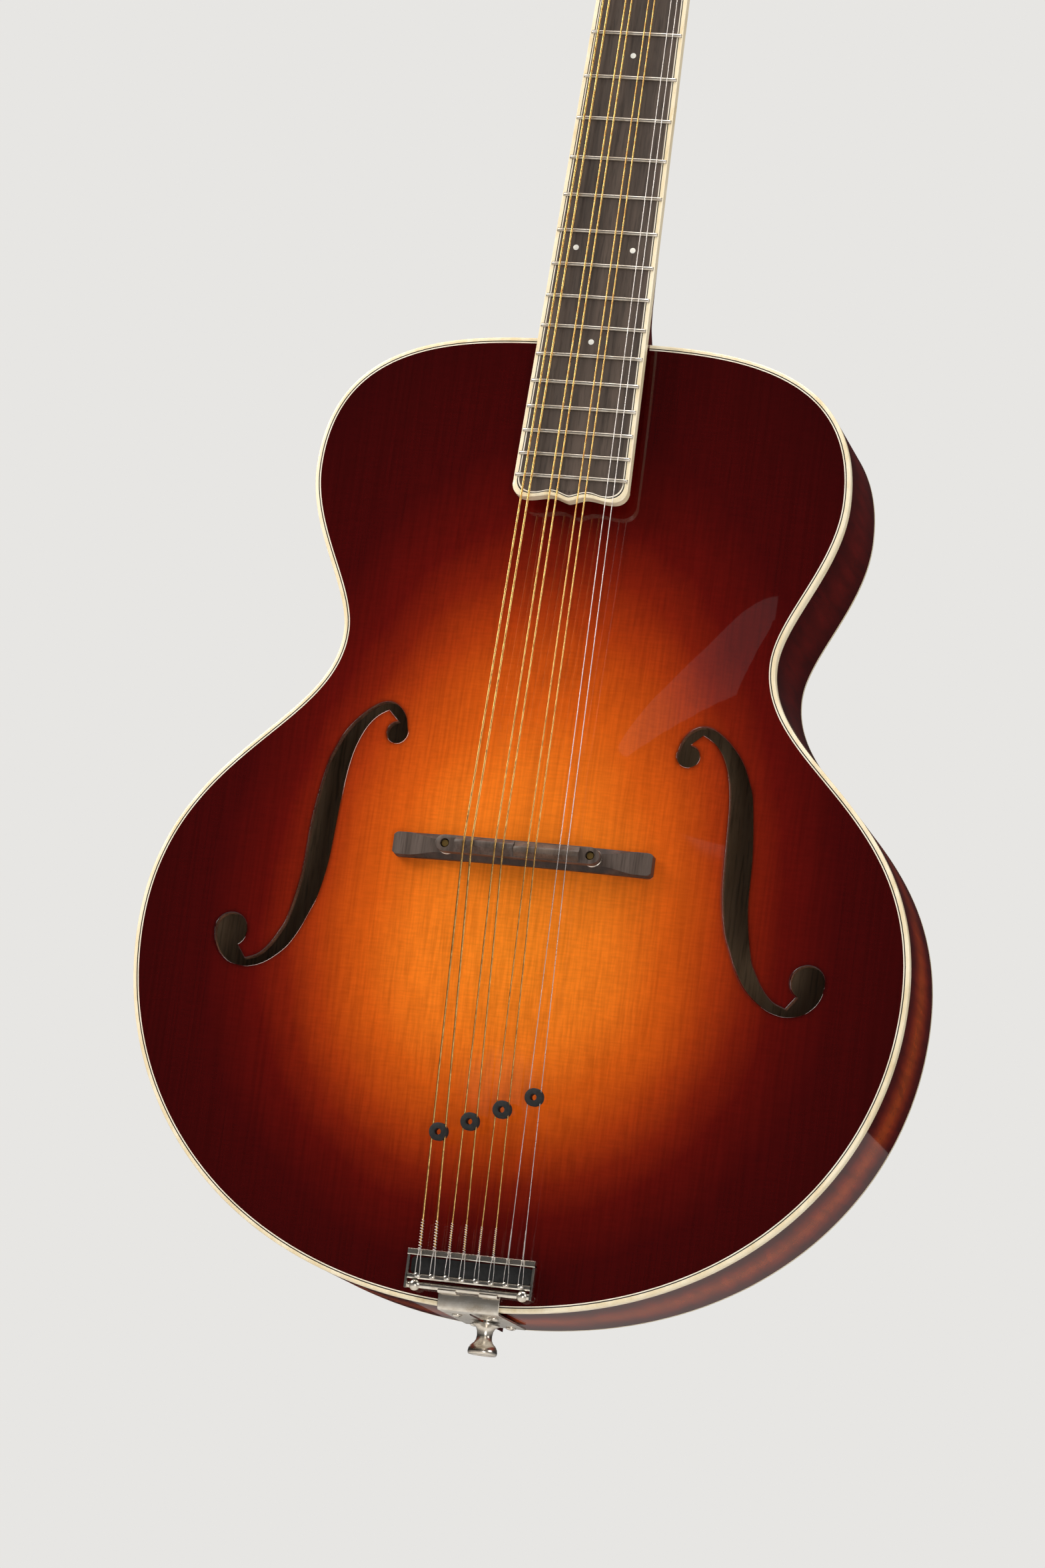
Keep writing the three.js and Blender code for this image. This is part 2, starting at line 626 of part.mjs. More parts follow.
place(instrument, 'bridge_base', bridgeBase(), ebony);
place(instrument, 'saddle', saddle(), ebony);
for (const [name, side] of sides) {
  place(instrument, `bridge_post_${name}`, pillar(side * postAt, bridgeLine, 14, 26.5, postRadius, 12), brass);
  place(instrument, `thumbwheel_${name}`, thumbwheel(side * postAt), nickel);
}

place(instrument, 'tailpiece_frame', tailpieceFrame(), nickel);
place(instrument, 'tailpiece_pad', block(-31.5, 31.5, -844.7, -836, 3.4, 4.6), blackRubber);
place(instrument, 'tail_bracket', tailBracket(), nickel);
place(instrument, 'end_pin', endPin(), nickel);

for (let course = 0; course < 4; course++) {
  place(instrument, `grommet_${course + 1}`, grommet(course), blackRubber);
}
for (let number = 0; number < 8; number++) {
  place(instrument, `string_${number + 1}`, stringLine(number), number < 6 ? bronze : steel);
}

for (const [name, side] of sides) {
  place(headGroup, `tuner_plate_${name}`, tunerPlate(side), nickel);
}
for (const tuner of tunerPlaces) {
  const label = `${tuner.side < 0 ? 'bass' : 'treble'}_${tuner.number}`;
  place(headGroup, `tuner_post_${label}`, tunerPost(tuner), brass);
  place(headGroup, `tuner_button_${label}`, tunerButton(tuner), nickel);
}

export default instrument;
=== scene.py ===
import math
import bmesh
import bpy
import numpy as np
from mathutils import Matrix, Vector
from mathutils.geometry import delaunay_2d_cdt


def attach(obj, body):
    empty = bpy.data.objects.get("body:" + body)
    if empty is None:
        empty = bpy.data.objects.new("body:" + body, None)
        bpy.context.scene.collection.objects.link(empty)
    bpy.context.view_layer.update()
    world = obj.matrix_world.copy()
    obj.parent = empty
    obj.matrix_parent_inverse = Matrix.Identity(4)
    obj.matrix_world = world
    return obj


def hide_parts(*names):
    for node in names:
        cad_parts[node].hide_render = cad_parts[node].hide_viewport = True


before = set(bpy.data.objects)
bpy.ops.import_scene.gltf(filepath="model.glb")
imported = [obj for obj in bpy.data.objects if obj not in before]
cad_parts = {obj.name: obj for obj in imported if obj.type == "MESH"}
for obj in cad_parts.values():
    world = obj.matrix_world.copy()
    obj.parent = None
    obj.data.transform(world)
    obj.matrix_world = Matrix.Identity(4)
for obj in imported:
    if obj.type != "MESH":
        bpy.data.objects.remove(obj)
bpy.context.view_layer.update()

# Archtop bouzouki with four double courses. Every piece is drawn as on the bench, in millimetres:
# x across towards the treble side, y towards the headstock with 0 at the nut, z out of the top.
print("model loaded,", len(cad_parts), "parts")

neckSet = {
    "pitch": math.radians(2.74),      # the board rises towards the bridge
    "boardAtNut": -1.8,
    "headTilt": math.radians(13),
    "headStart": 5.3,
    "headFace": -5.0,
    "scaleLength": 628.65,
}


def bench(x, y, z):
    return Vector((x, -z, y)) / 1000


def neckPlace(x, y, z):
    turned = Matrix.Rotation(-neckSet["pitch"], 3, "X") @ Vector((x, y, z))
    return bench(turned.x, turned.y, turned.z + neckSet["boardAtNut"])


def headPlace(x, y, z):
    turned = Matrix.Rotation(-neckSet["headTilt"], 3, "X") @ Vector((x, y, z))
    return neckPlace(turned.x, turned.y + neckSet["headStart"], turned.z + neckSet["headFace"])


def addPiece(name, points, faces, place=bench, smooth=35, bevel=None):
    mesh = bpy.data.meshes.new(name)
    mesh.from_pydata([place(*point) for point in points], [], faces)
    mesh.validate()
    mesh.update()
    piece = bpy.data.objects.new(name, mesh)
    bpy.context.scene.collection.objects.link(piece)
    if smooth:
        mesh.shade_smooth()
        mesh.set_sharp_from_angle(angle=math.radians(smooth))
    if bevel:
        roundEdges(piece, bevel)
    return piece


def roundEdges(piece, width, steps=2, angle=35):
    rounding = piece.modifiers.new("rounded edges", "BEVEL")
    rounding.width = width / 1000
    rounding.segments = steps
    rounding.limit_method = "ANGLE"
    rounding.angle_limit = math.radians(angle)
    rounding.harden_normals = True


def finishPiece(piece, body, slotName, finishes, *nodes):
    for finish in finishes if isinstance(finishes, (list, tuple)) else [finishes]:
        piece.data.materials.append(finish)
    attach(piece, body)
    if nodes:
        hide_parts(*nodes)
    return piece


def turnOut(piece):
    # faces outwards, whichever way the rings were strung
    work = bmesh.new()
    work.from_mesh(piece.data)
    bmesh.ops.recalc_face_normals(work, faces=work.faces)
    work.to_mesh(piece.data)
    work.free()
    return piece


# Rings of equally many points, skinned one to the next; the ends are closed with flat faces
def loft(rings, closeEnds=True, wrap=False):
    count = len(rings[0])
    points = [tuple(point) for ring in rings for point in ring]
    faces = []
    spans = len(rings) if wrap else len(rings) - 1
    for ring in range(spans):
        following = (ring + 1) % len(rings)
        for i in range(count):
            j = (i + 1) % count
            faces.append((ring * count + i, ring * count + j, following * count + j,
                          following * count + i))
    if closeEnds and not wrap:
        faces.append(tuple(range(count))[::-1])
        faces.append(tuple((len(rings) - 1) * count + i for i in range(count)))
    return points, faces


def gather(*parts):
    points, faces = [], []
    for partPoints, partFaces in parts:
        start = len(points)
        points += list(partPoints)
        faces += [tuple(start + i for i in face) for face in partFaces]
    return points, faces


# A profile of (radius, height) turned about an upright line
def turned(profile, x, y, z=0.0, sides=32):
    rings = []
    for radius, height in profile:
        rings.append([(x + radius * math.cos(math.tau * i / sides),
                       y + radius * math.sin(math.tau * i / sides),
                       z + height) for i in range(sides)])
    return loft(rings)


# The same, about a line along x
def turnedAlongX(profile, x, y, z, sides=28):
    rings = []
    for radius, reach in profile:
        rings.append([(x + reach, y + radius * math.cos(math.tau * i / sides),
                       z + radius * math.sin(math.tau * i / sides)) for i in range(sides)])
    return loft(rings)


def slab(outline, bottom, top):
    return loft([[(x, y, bottom) for x, y in outline], [(x, y, top) for x, y in outline]])


def roundedBox(x0, x1, y0, y1, radius, perCorner):
    line = []
    for x, y, start in ((x1, y1, 0), (x0, y1, 90), (x0, y0, 180), (x1, y0, 270)):
        line += arcPoints(x, y, radius, start, start + 90, perCorner)
    return line


def brick(x0, x1, y0, y1, z0, z1):
    return slab([(x0, y0), (x1, y0), (x1, y1), (x0, y1)], z0, z1)


def roundWire(path, radius, sides=12, closeEnds=True):
    rings = []
    across = None
    for i, point in enumerate(path):
        here = Vector(point)
        along = Vector(path[min(i + 1, len(path) - 1)]) - Vector(path[max(i - 1, 0)])
        along.normalize()
        if across is None:
            across = along.cross(Vector((0.13, 0.1, 1))).normalized()
        across = (across - along * across.dot(along)).normalized()
        upward = across.cross(along)
        thick = radius[i] if isinstance(radius, (list, tuple)) else radius
        rings.append([tuple(here + across * thick * math.cos(math.tau * k / sides)
                            + upward * thick * math.sin(math.tau * k / sides)) for k in range(sides)])
    return loft(rings, closeEnds)


# A screw thread along x: the radius rises to the crest once per pitch, right-handed
def threadAlongX(x0, x1, y, z, root, crest, pitch, sides=24, steps=8, facing=-0.5 * math.pi, crestAt=0.0):
    count = max(4, round((x1 - x0) / pitch * steps))
    rings = [[(x0, y + root * 0.7 * math.cos(math.tau * k / sides),
               z + root * 0.7 * math.sin(math.tau * k / sides))
              for k in range(sides)]]
    for i in range(count + 1):
        x = x0 + (x1 - x0) * i / count
        fade = min(1.0, (x - x0) / pitch, (x1 - x) / pitch)
        ring = []
        for k in range(sides):
            turn = math.tau * k / sides
            share = ((x - crestAt) / pitch - (turn - facing) / math.tau) % 1
            height = max(0.0, 1 - 2.9 * min(share, 1 - share)) * fade
            radius = root + (crest - root) * min(1.0, height * 1.25)
            ring.append((x, y + radius * math.cos(turn), z + radius * math.sin(turn)))
        rings.append(ring)
    rings.append([(x1, y + root * 0.7 * math.cos(math.tau * k / sides),
                   z + root * 0.7 * math.sin(math.tau * k / sides))
                  for k in range(sides)])
    return loft(rings)


def standUp(shape, x, y, z):
    # a shape drawn along x from 0 is stood on end at x, y, z
    points, faces = shape
    return [(x + py, y + pz, z + px) for px, py, pz in points], faces


def smoothPath(points, perSpan=8):
    # a Catmull-Rom curve through the points
    knots = [np.array(point, float) for point in points]
    padded = [2 * knots[0] - knots[1]] + knots + [2 * knots[-1] - knots[-2]]
    path = []
    for a, b, c, d in zip(padded, padded[1:], padded[2:], padded[3:]):
        for step in range(perSpan):
            t = step / perSpan
            path.append(0.5 * (2 * b + (c - a) * t + (2 * a - 5 * b + 4 * c - d) * t * t
                               + (3 * b - a - 3 * c + d) * t ** 3))
    path.append(knots[-1])
    return [tuple(point) for point in path]


def evenly(points, step):
    # the same line with its points a step apart
    line = np.array(points, float)
    run = np.concatenate([[0], np.cumsum(np.hypot(*np.diff(line, axis=0).T))])
    places = np.linspace(0, run[-1], max(2, round(run[-1] / step)) + 1)
    return np.column_stack([np.interp(places, run, line[:, 0]), np.interp(places, run, line[:, 1])])


def bezier(p0, p1, p2, p3, count=48):
    t = np.linspace(0, 1, count)[:, None]
    p0, p1, p2, p3 = (np.array(p, float) for p in (p0, p1, p2, p3))
    return (1 - t) ** 3 * p0 + 3 * (1 - t) ** 2 * t * p1 + 3 * (1 - t) * t * t * p2 + t ** 3 * p3


def arcPoints(x, y, radius, start, end, count=24):
    turns = np.linspace(math.radians(start), math.radians(end), count)
    return [(x + radius * math.cos(t), y + radius * math.sin(t)) for t in turns]


def setPointValues(piece, name, values):
    layer = piece.data.attributes.new(name, "FLOAT", "POINT")
    layer.data.foreach_set("value", np.array(values, np.float32))


def benchPoints(piece):
    # x, y, z on the bench of every point of a mesh
    spots = np.zeros(len(piece.data.vertices) * 3)
    piece.data.vertices.foreach_get("co", spots)
    spots = spots.reshape(-1, 3) * 1000
    return spots[:, 0], spots[:, 2], -spots[:, 1]


def tint(red, green, blue):
    # a colour as the eye reads it, 0 to 255, for the shader
    channels = [channel / 255 for channel in (red, green, blue)]
    return [c / 12.92 if c <= 0.04045 else ((c + 0.055) / 1.055) ** 2.4 for c in channels] + [1.0]


def newFinish(name, colour, **sockets):
    finish = bpy.data.materials.new(name)
    finish.use_nodes = True
    shader = finish.node_tree.nodes["Principled BSDF"]
    shader.inputs["Base Color"].default_value = colour
    for socket, value in sockets.items():
        shader.inputs[socket.replace("_", " ")].default_value = value
    return finish


def addNode(finish, kind, values=None, **settings):
    node = finish.node_tree.nodes.new(kind)
    for key, value in settings.items():
        setattr(node, key, value)
    for key, value in (values or {}).items():
        node.inputs[key].default_value = value
    return node


def wireUp(finish, start, end):
    finish.node_tree.links.new(start, end)


def shaderSocket(finish, name):
    return finish.node_tree.nodes["Principled BSDF"].inputs[name]


def stretched(finish, scale, turn=(0, 0, 0)):
    # object coordinates, squeezed or stretched along each axis
    spot = addNode(finish, "ShaderNodeTexCoord")
    mapping = addNode(finish, "ShaderNodeMapping", {"Scale": scale, "Rotation": turn})
    wireUp(finish, spot.outputs["Object"], mapping.inputs["Vector"])
    return mapping.outputs["Vector"]


def noise(finish, where, scale, detail=3.0, roughness=0.55, distortion=0.0):
    cloud = addNode(finish, "ShaderNodeTexNoise",
                    {"Scale": scale, "Detail": detail, "Roughness": roughness, "Distortion": distortion})
    wireUp(finish, where, cloud.inputs["Vector"])
    return cloud.outputs["Fac"]


def ramp(finish, amount, stops):
    scale = addNode(finish, "ShaderNodeValToRGB")
    marks = scale.color_ramp.elements
    while len(marks) < len(stops):
        marks.new(0.5)
    for mark, (place, colour) in zip(marks, stops):
        mark.position = place
        mark.color = colour
    wireUp(finish, amount, scale.inputs["Fac"])
    return scale.outputs["Color"]


def remap(finish, amount, low, high, fromLow=0.0, fromHigh=1.0):
    mapper = addNode(finish, "ShaderNodeMapRange", {1: fromLow, 2: fromHigh, 3: low, 4: high})
    wireUp(finish, amount, mapper.inputs[0])
    return mapper.outputs[0]


def mixColour(finish, amount, first, second, blend="MIX"):
    mixer = addNode(finish, "ShaderNodeMix", data_type="RGBA", blend_type=blend)
    for value, socket in ((amount, mixer.inputs[0]), (first, mixer.inputs[6]), (second, mixer.inputs[7])):
        if isinstance(value, (int, float, list, tuple)):
            socket.default_value = value
        else:
            wireUp(finish, value, socket)
    return mixer.outputs[2]


def relief(finish, height, strength, distance=0.0005):
    bump = addNode(finish, "ShaderNodeBump", {"Strength": strength, "Distance": distance})
    wireUp(finish, height, bump.inputs["Height"])
    wireUp(finish, bump.outputs["Normal"], shaderSocket(finish, "Normal"))
    return bump


def pointValue(finish, name):
    return addNode(finish, "ShaderNodeAttribute", attribute_name=name).outputs["Fac"]


def grey(level):
    return (level, level, level, 1.0)


def sunburstLacquer():
    # clear lacquer over shaded spruce: amber in the middle, cherry black at the edge
    finish = newFinish("sunburst lacquer", tint(220, 105, 28), Roughness=0.6, Coat_Weight=1.0,
                       Coat_Roughness=0.03, Coat_IOR=1.5, Specular_IOR_Level=0.0)
    spread = remap(finish, pointValue(finish, "burst"), 0.0, 1.0, 0.0, 2.0)
    mottle = noise(finish, stretched(finish, (1, 1, 1)), 26, 4)
    spreadMottled = addNode(finish, "ShaderNodeMath", operation="ADD")
    wireUp(finish, spread, spreadMottled.inputs[0])
    wireUp(finish, remap(finish, mottle, -0.022, 0.022), spreadMottled.inputs[1])
    shaded = ramp(finish, spreadMottled.outputs[0], [
        (0.0, tint(246, 138, 36)), (0.22, tint(232, 118, 29)), (0.34, tint(200, 86, 18)),
        (0.46, tint(156, 52, 12)), (0.53, tint(116, 27, 8)), (0.6, tint(86, 11, 6)),
        (0.72, tint(62, 5, 5)), (1.0, tint(44, 3, 4))])
    yearRings = noise(finish, stretched(finish, (1, 1, 0.012)), 620, 3, 0.6)
    silk = noise(finish, stretched(finish, (0.12, 1, 1)), 900, 2, 0.5)
    grained = mixColour(finish, 1.0, shaded, ramp(finish, yearRings,
                                                  [(0.3, grey(0.80)), (0.62, grey(1.04))]),
                        "MULTIPLY")
    grained = mixColour(finish, 1.0, grained, ramp(finish, silk, [(0.3, grey(0.90)), (0.7, grey(1.03))]),
                        "MULTIPLY")
    edgeShade = ramp(finish, pointValue(finish, "holeShade"), [(0.0, grey(1.0)), (1.0, grey(0.22))])
    wireUp(finish, mixColour(finish, 1.0, grained, edgeShade, "MULTIPLY"),
           shaderSocket(finish, "Base Color"))
    relief(finish, yearRings, 0.05, 0.0002)
    return finish


def darkLacquer():
    # the same lacquer over flamed wood, cherry black with an amber glow; on the sides part of that amber is
    # painted reflection
    finish = newFinish("cherry lacquer", tint(80, 12, 9), Roughness=0.6, Coat_Weight=0.6,
                       Coat_Roughness=0.03,
                       Coat_IOR=1.5, Specular_IOR_Level=0.0)
    glow = ramp(finish, pointValue(finish, "burst"), [
        (0.0, tint(52, 5, 5)), (0.25, tint(78, 11, 8)), (0.55, tint(120, 38, 14)),
        (1.0, tint(168, 76, 26))])
    flame = noise(finish, stretched(finish, (1, 1, 9)), 24, 2, 0.45, 0.6)
    figured = mixColour(finish, 1.0, glow, ramp(finish, flame, [(0.32, grey(0.72)), (0.64, grey(1.12))]),
                        "MULTIPLY")
    pores = noise(finish, stretched(finish, (1, 1, 0.06)), 700, 2)
    lined = mixColour(finish, 1.0, figured, ramp(finish, pores, [(0.3, grey(0.86)), (0.6, grey(1.02))]),
                      "MULTIPLY")
    wireUp(finish, lined, shaderSocket(finish, "Base Color"))
    relief(finish, flame, 0.04, 0.0004)
    return finish


def openWood(name, light, dark, grainScale=520, sheen=0.62):
    # bare or oiled wood with its grain along the instrument
    finish = newFinish(name, light, Roughness=sheen, Specular_IOR_Level=0.35)
    streaks = noise(finish, stretched(finish, (1, 1, 0.035)), grainScale * 0.28, 4, 0.6, 0.4)
    pores = noise(finish, stretched(finish, (1, 1, 0.05)), grainScale * 2.2, 3, 0.65)
    banded = ramp(finish, streaks, [(0.32, dark), (0.66, light)])
    porous = mixColour(finish, 1.0, banded, ramp(finish, pores, [(0.34, grey(0.62)), (0.5, grey(1.0))]),
                       "MULTIPLY")
    wireUp(finish, porous, shaderSocket(finish, "Base Color"))
    wireUp(finish, remap(finish, streaks, sheen + 0.1, sheen - 0.08), shaderSocket(finish, "Roughness"))
    relief(finish, pores, 0.35, 0.0002)
    return finish


def smoothPlastic(name, light, dark, sheen=0.28, coat=0.4):
    # celluloid or bone: faint streaks and a little grime
    finish = newFinish(name, light, Roughness=sheen, Coat_Weight=coat, Coat_Roughness=0.12,
                       Subsurface_Weight=0.0)
    clouds = noise(finish, stretched(finish, (1, 1, 0.3)), 90, 5, 0.6, 1.2)
    specks = noise(finish, stretched(finish, (1, 1, 1)), 1500, 2)
    veined = ramp(finish, clouds, [(0.3, dark), (0.62, light)])
    speckled = mixColour(finish, 1.0, veined, ramp(finish, specks,
                                                   [(0.25, grey(0.86)), (0.42, grey(1.0))]),
                         "MULTIPLY")
    wireUp(finish, speckled, shaderSocket(finish, "Base Color"))
    wireUp(finish, remap(finish, clouds, sheen - 0.06, sheen + 0.12), shaderSocket(finish, "Roughness"))
    relief(finish, clouds, 0.05, 0.0003)
    return finish


def platedMetal(name, light, dark, sheen=0.16, scratch=0.12):
    # plate or turned metal with clouds of tarnish and fine rubbing marks
    finish = newFinish(name, light, Metallic=1.0, Roughness=sheen)
    clouds = noise(finish, stretched(finish, (1, 1, 1)), 140, 5, 0.6)
    rubbing = noise(finish, stretched(finish, (0.08, 1, 1), (0.3, 0.5, 0.7)), 1800, 3)
    wireUp(finish, ramp(finish, clouds, [(0.3, dark), (0.6, light)]), shaderSocket(finish, "Base Color"))
    worn = remap(finish, clouds, sheen + 0.16, max(0.04, sheen - 0.07))
    rubbed = addNode(finish, "ShaderNodeMath", operation="ADD")
    wireUp(finish, worn, rubbed.inputs[0])
    wireUp(finish, remap(finish, rubbing, 0.0, 0.08), rubbed.inputs[1])
    wireUp(finish, rubbed.outputs[0], shaderSocket(finish, "Roughness"))
    relief(finish, rubbing, scratch, 0.00008)
    return finish


def windingWire(name, light, dark, wireGauge=0.24):
    # round wire wrapped on the core, one ridge per turn, with painted shade darkening the groove between
    # turns
    finish = newFinish(name, light, Metallic=1.0, Roughness=0.26)
    turns = addNode(finish, "ShaderNodeMath", {1: math.tau / wireGauge}, operation="MULTIPLY")
    wireUp(finish, pointValue(finish, "run"), turns.inputs[0])
    ridges = addNode(finish, "ShaderNodeMath", operation="SINE")
    wireUp(finish, turns.outputs[0], ridges.inputs[0])
    tarnish = noise(finish, stretched(finish, (1, 1, 1)), 300, 4)
    worn = ramp(finish, tarnish, [(0.3, dark), (0.58, light)])
    # painted shade: the colour darkens in the groove between turns
    paintedGrooveShade = remap(finish, ridges.outputs[0], 0.45, 1.0, -1.0, 0.3)
    wireUp(finish, mixColour(finish, 1.0, worn, paintedGrooveShade, "MULTIPLY"), shaderSocket(finish, "Base Color"))
    relief(finish, ridges.outputs[0], 0.04, 0.00002)
    return finish


def softRubber(name, light, dark):
    finish = newFinish(name, light, Roughness=0.72, Specular_IOR_Level=0.3)
    dust = noise(finish, stretched(finish, (1, 1, 1)), 420, 5, 0.7)
    wireUp(finish, ramp(finish, dust, [(0.35, dark), (0.7, light)]), shaderSocket(finish, "Base Color"))
    wireUp(finish, remap(finish, dust, 0.62, 0.86), shaderSocket(finish, "Roughness"))
    relief(finish, dust, 0.3, 0.0002)
    return finish


finishes = {
    "burst": sunburstLacquer(),
    "cherry": darkLacquer(),
    "spruce": openWood("bare spruce", tint(190, 158, 112), tint(150, 112, 70)),
    "mahogany": openWood("bare mahogany", tint(128, 84, 56), tint(92, 56, 36)),
    # painted light: the maple inside the body is given a lighter colour, standing for light the sound holes
    # barely let in
    "maple": openWood("bare maple, painted lighter", tint(206, 176, 142), tint(170, 138, 106), 300),
    "holeEdge": openWood("stained hole edge", tint(118, 84, 66), tint(74, 48, 36), 900, 0.3),
    "board": openWood("streaked ebony", tint(84, 72, 64), tint(50, 42, 37), 420, 0.5),
    "crest": openWood("lighter bridge ebony", tint(100, 86, 76), tint(66, 54, 46), 600, 0.45),
    "bridgeFace": openWood("streaked bridge face", tint(74, 52, 42), tint(40, 28, 22), 420, 0.5),
    # painted sheen: this ebony is given a lighter grey, standing for the sheen on the bridge's pad tops and
    # saddle
    "bridge": openWood("bridge ebony, lightened as painted sheen", tint(92, 80, 74), tint(54, 42, 35), 600, 0.45),
    "veneer": openWood("headstock ebony", tint(30, 26, 25), tint(16, 13, 12), 500, 0.22),
    "ivory": smoothPlastic("ivory celluloid", tint(242, 232, 205), tint(226, 208, 168)),
    "whiteLine": smoothPlastic("white line", tint(238, 232, 218), tint(224, 214, 192)),
    "blackLine": smoothPlastic("black line", tint(22, 18, 17), tint(12, 10, 10), 0.3, 0.3),
    "bone": smoothPlastic("polished bone", tint(236, 228, 208), tint(220, 206, 176), 0.3, 0.2),
    "pearl": smoothPlastic("pearl dot", tint(235, 234, 226), tint(206, 214, 214), 0.16, 0.8),
    "nickel": platedMetal("nickel plate", tint(222, 218, 210), tint(186, 176, 162)),
    "fretWire": platedMetal("fret wire", tint(212, 206, 196), tint(170, 160, 146), 0.24, 0.25),
    "brass": platedMetal("turned brass", tint(214, 180, 112), tint(164, 128, 70), 0.22),
    "blackSteel": platedMetal("blued screw", tint(92, 88, 84), tint(52, 48, 46), 0.3),
    "bronze": windingWire("bronze winding", tint(238, 196, 122), tint(190, 140, 76)),
    "steel": platedMetal("plain steel", tint(226, 222, 220), tint(186, 180, 176), 0.2, 0.05),
    "rubber": softRubber("black rubber", tint(40, 42, 44), tint(24, 25, 27)),
}
print("finishes mixed:", len(finishes))


body = {
    "shoulder": -351,
    "upperBout": (142.5, -428),
    "waist": (115, -516),
    "lowerBout": (203, -682),
    "tail": -859.5,
    "rimDepth": 81.5,
    "plateThickness": 4.5,
    "topArch": 14,
    "backArch": 13.5,
    "crownCentre": (0, -612),
    "crownAcross": 168,
    "crownAlong": 235,
    "sideThickness": 2.3,
    "plateEdge": 2.3,           # where the arch starts, in from the outline
    "outlineStep": 2.4,
    "meshStep": 5.0,
}
trim = {
    "ivory": 2.0,
    "black": 0.55,
    "white": 0.6,
    "topDepth": 6.0,
    "backDepth": 3.0,
    "corner": 0.9,              # rounding of the outer corner
}
soundHole = {
    "upperEye": (77, -568.4, 5.8),
    "lowerEye": (151.8, -678.2, 8.7),
    # the stem's edge from the upper eye over the top and down to the point of the wing
    "outerEdge": [(71.7, -566), (73.2, -560.3), (76.6, -555.6), (81.6, -552.6), (87.5, -552.9),
                  (94, -556.7),
                  (100.2, -562.6), (105.5, -569.7), (109.4, -578.3), (112.7, -588.7), (116.2, -616.2),
                  (117.4, -644.7), (121.6, -668.3), (125.3, -677.1), (130, -684.7), (135.5, -690.1),
                  (142.2, -692.8)],
    # and from the lower eye back up to the small wing
    "innerEdge": [(160.3, -680), (159.3, -685), (156.2, -690.4), (150.5, -694.9), (143.3, -696.5),
                  (137.8, -695.9),
                  (132.2, -693.9), (126.4, -690), (120.3, -684.2), (114.9, -675.5), (110.4, -665.1),
                  (107.2, -656.8),
                  (104.4, -643), (103.2, -630), (102.4, -612), (101.6, -595), (100.4, -584.4),
                  (98.7, -576.7),
                  (95.9, -569.1), (92.5, -563.3), (88.4, -559.2), (83.4, -556.3)],
    "rounding": 0.55,
}
burst = {
    "centre": (0, -680),
    "across": 114,              # half width where the amber has turned to red
    "towardsNeck": 195,
    "towardsTail": 112,
}


def sideOutline():
    # the treble side from the neck joint to the tail
    ub, w, lb = body["upperBout"], body["waist"], body["lowerBout"]
    stretches = [
        bezier((0, body["shoulder"]), (53, body["shoulder"]), (ub[0], ub[1] + 82.5), ub),
        bezier(ub, (ub[0], ub[1] - 35), (w[0], w[1] + 24), w),
        bezier(w, (w[0], w[1] - 52.5), (lb[0], lb[1] + 98), lb),
        bezier(lb, (lb[0], lb[1] - 97.5), (124, body["tail"]), (0, body["tail"])),
    ]
    return evenly(np.vstack([stretches[0]] + [s[1:] for s in stretches[1:]]), body["outlineStep"])


trebleSide = sideOutline()
outline = np.vstack([trebleSide, (trebleSide[1:-1] * [-1, 1])[::-1]])


def inwards(line, distance, closed=True):
    # a line moved to the side that is inwards on an outline which runs down the treble side
    if closed:
        along = np.roll(line, -1, 0) - np.roll(line, 1, 0)
    else:
        along = np.gradient(line, axis=0)
        along[0] = (1, 0)
        along[-1] = (-1, 0)
    along /= np.hypot(*along.T)[:, None]
    return line + np.column_stack([along[:, 1], -along[:, 0]]) * distance


edgeSpokes = inwards(outline, body["plateEdge"]) - body["crownCentre"]
edgeTurns = np.arctan2(edgeSpokes[:, 1], edgeSpokes[:, 0])
edgeReach = np.hypot(edgeSpokes[:, 0], edgeSpokes[:, 1])[np.argsort(edgeTurns)]
edgeTurns = np.sort(edgeTurns)


def archShare(x, y):
    # 0 on the crown and 1 at the plate's edge; level lines blend from an oval into the outline
    dx, dy = np.asarray(x, float) - body["crownCentre"][0], np.asarray(y, float) - body["crownCentre"][1]
    reach = np.hypot(dx, dy) + 1e-9
    edge = np.interp(np.arctan2(dy, dx), edgeTurns, edgeReach, period=math.tau)
    oval = reach / np.hypot(dx / body["crownAcross"], dy / body["crownAlong"])
    spare = np.where(np.abs(edge - oval) < 0.01, 0.01, edge - oval)
    return np.clip((-oval + np.sqrt(np.maximum(oval ** 2 + 4 * spare * reach, 0))) / (2 * spare), 0, 1)


def archHeight(x, y, rise=body["topArch"]):
    return rise * np.cos(math.pi / 2 * archShare(x, y)) ** 2


def burstAt(x, y):
    dx, dy = np.asarray(x, float) - burst["centre"][0], np.asarray(y, float) - burst["centre"][1]
    along = np.where(dy > 0, dy / burst["towardsNeck"], dy / burst["towardsTail"])
    return np.clip(np.hypot(dx / burst["across"], along), 0, 2)


def holeOutline(side):
    def curve(edge):
        return evenly(np.array(smoothPath(edge, 10)), 1.0)
    ux, uy, ur = soundHole["upperEye"]
    lx, ly, lr = soundHole["lowerEye"]
    lower = arcPoints(lx, ly, lr, 240, -8, 44)
    upper = arcPoints(ux, uy, ur, 62, -206, 34)
    line = np.vstack([curve(soundHole["outerEdge"]), lower[:-1], curve(soundHole["innerEdge"]),
                      [(77.1, -562.4)], upper])
    line = evenly(np.vstack([line, line[:1]]), 0.9)[:-1]
    return line if side > 0 else (line * [-1, 1])[::-1]


def insideOf(points, loop):
    # even-odd test, many points at once
    x, y = points[:, 0][:, None], points[:, 1][:, None]
    x0, y0 = loop[:, 0], loop[:, 1]
    x1, y1 = np.roll(x0, -1), np.roll(y0, -1)
    crosses = ((y0 > y) != (y1 > y)) & (x < (x1 - x0) * (y - y0) / (y1 - y0 + 1e-12) + x0)
    return crosses.sum(1) % 2 == 1


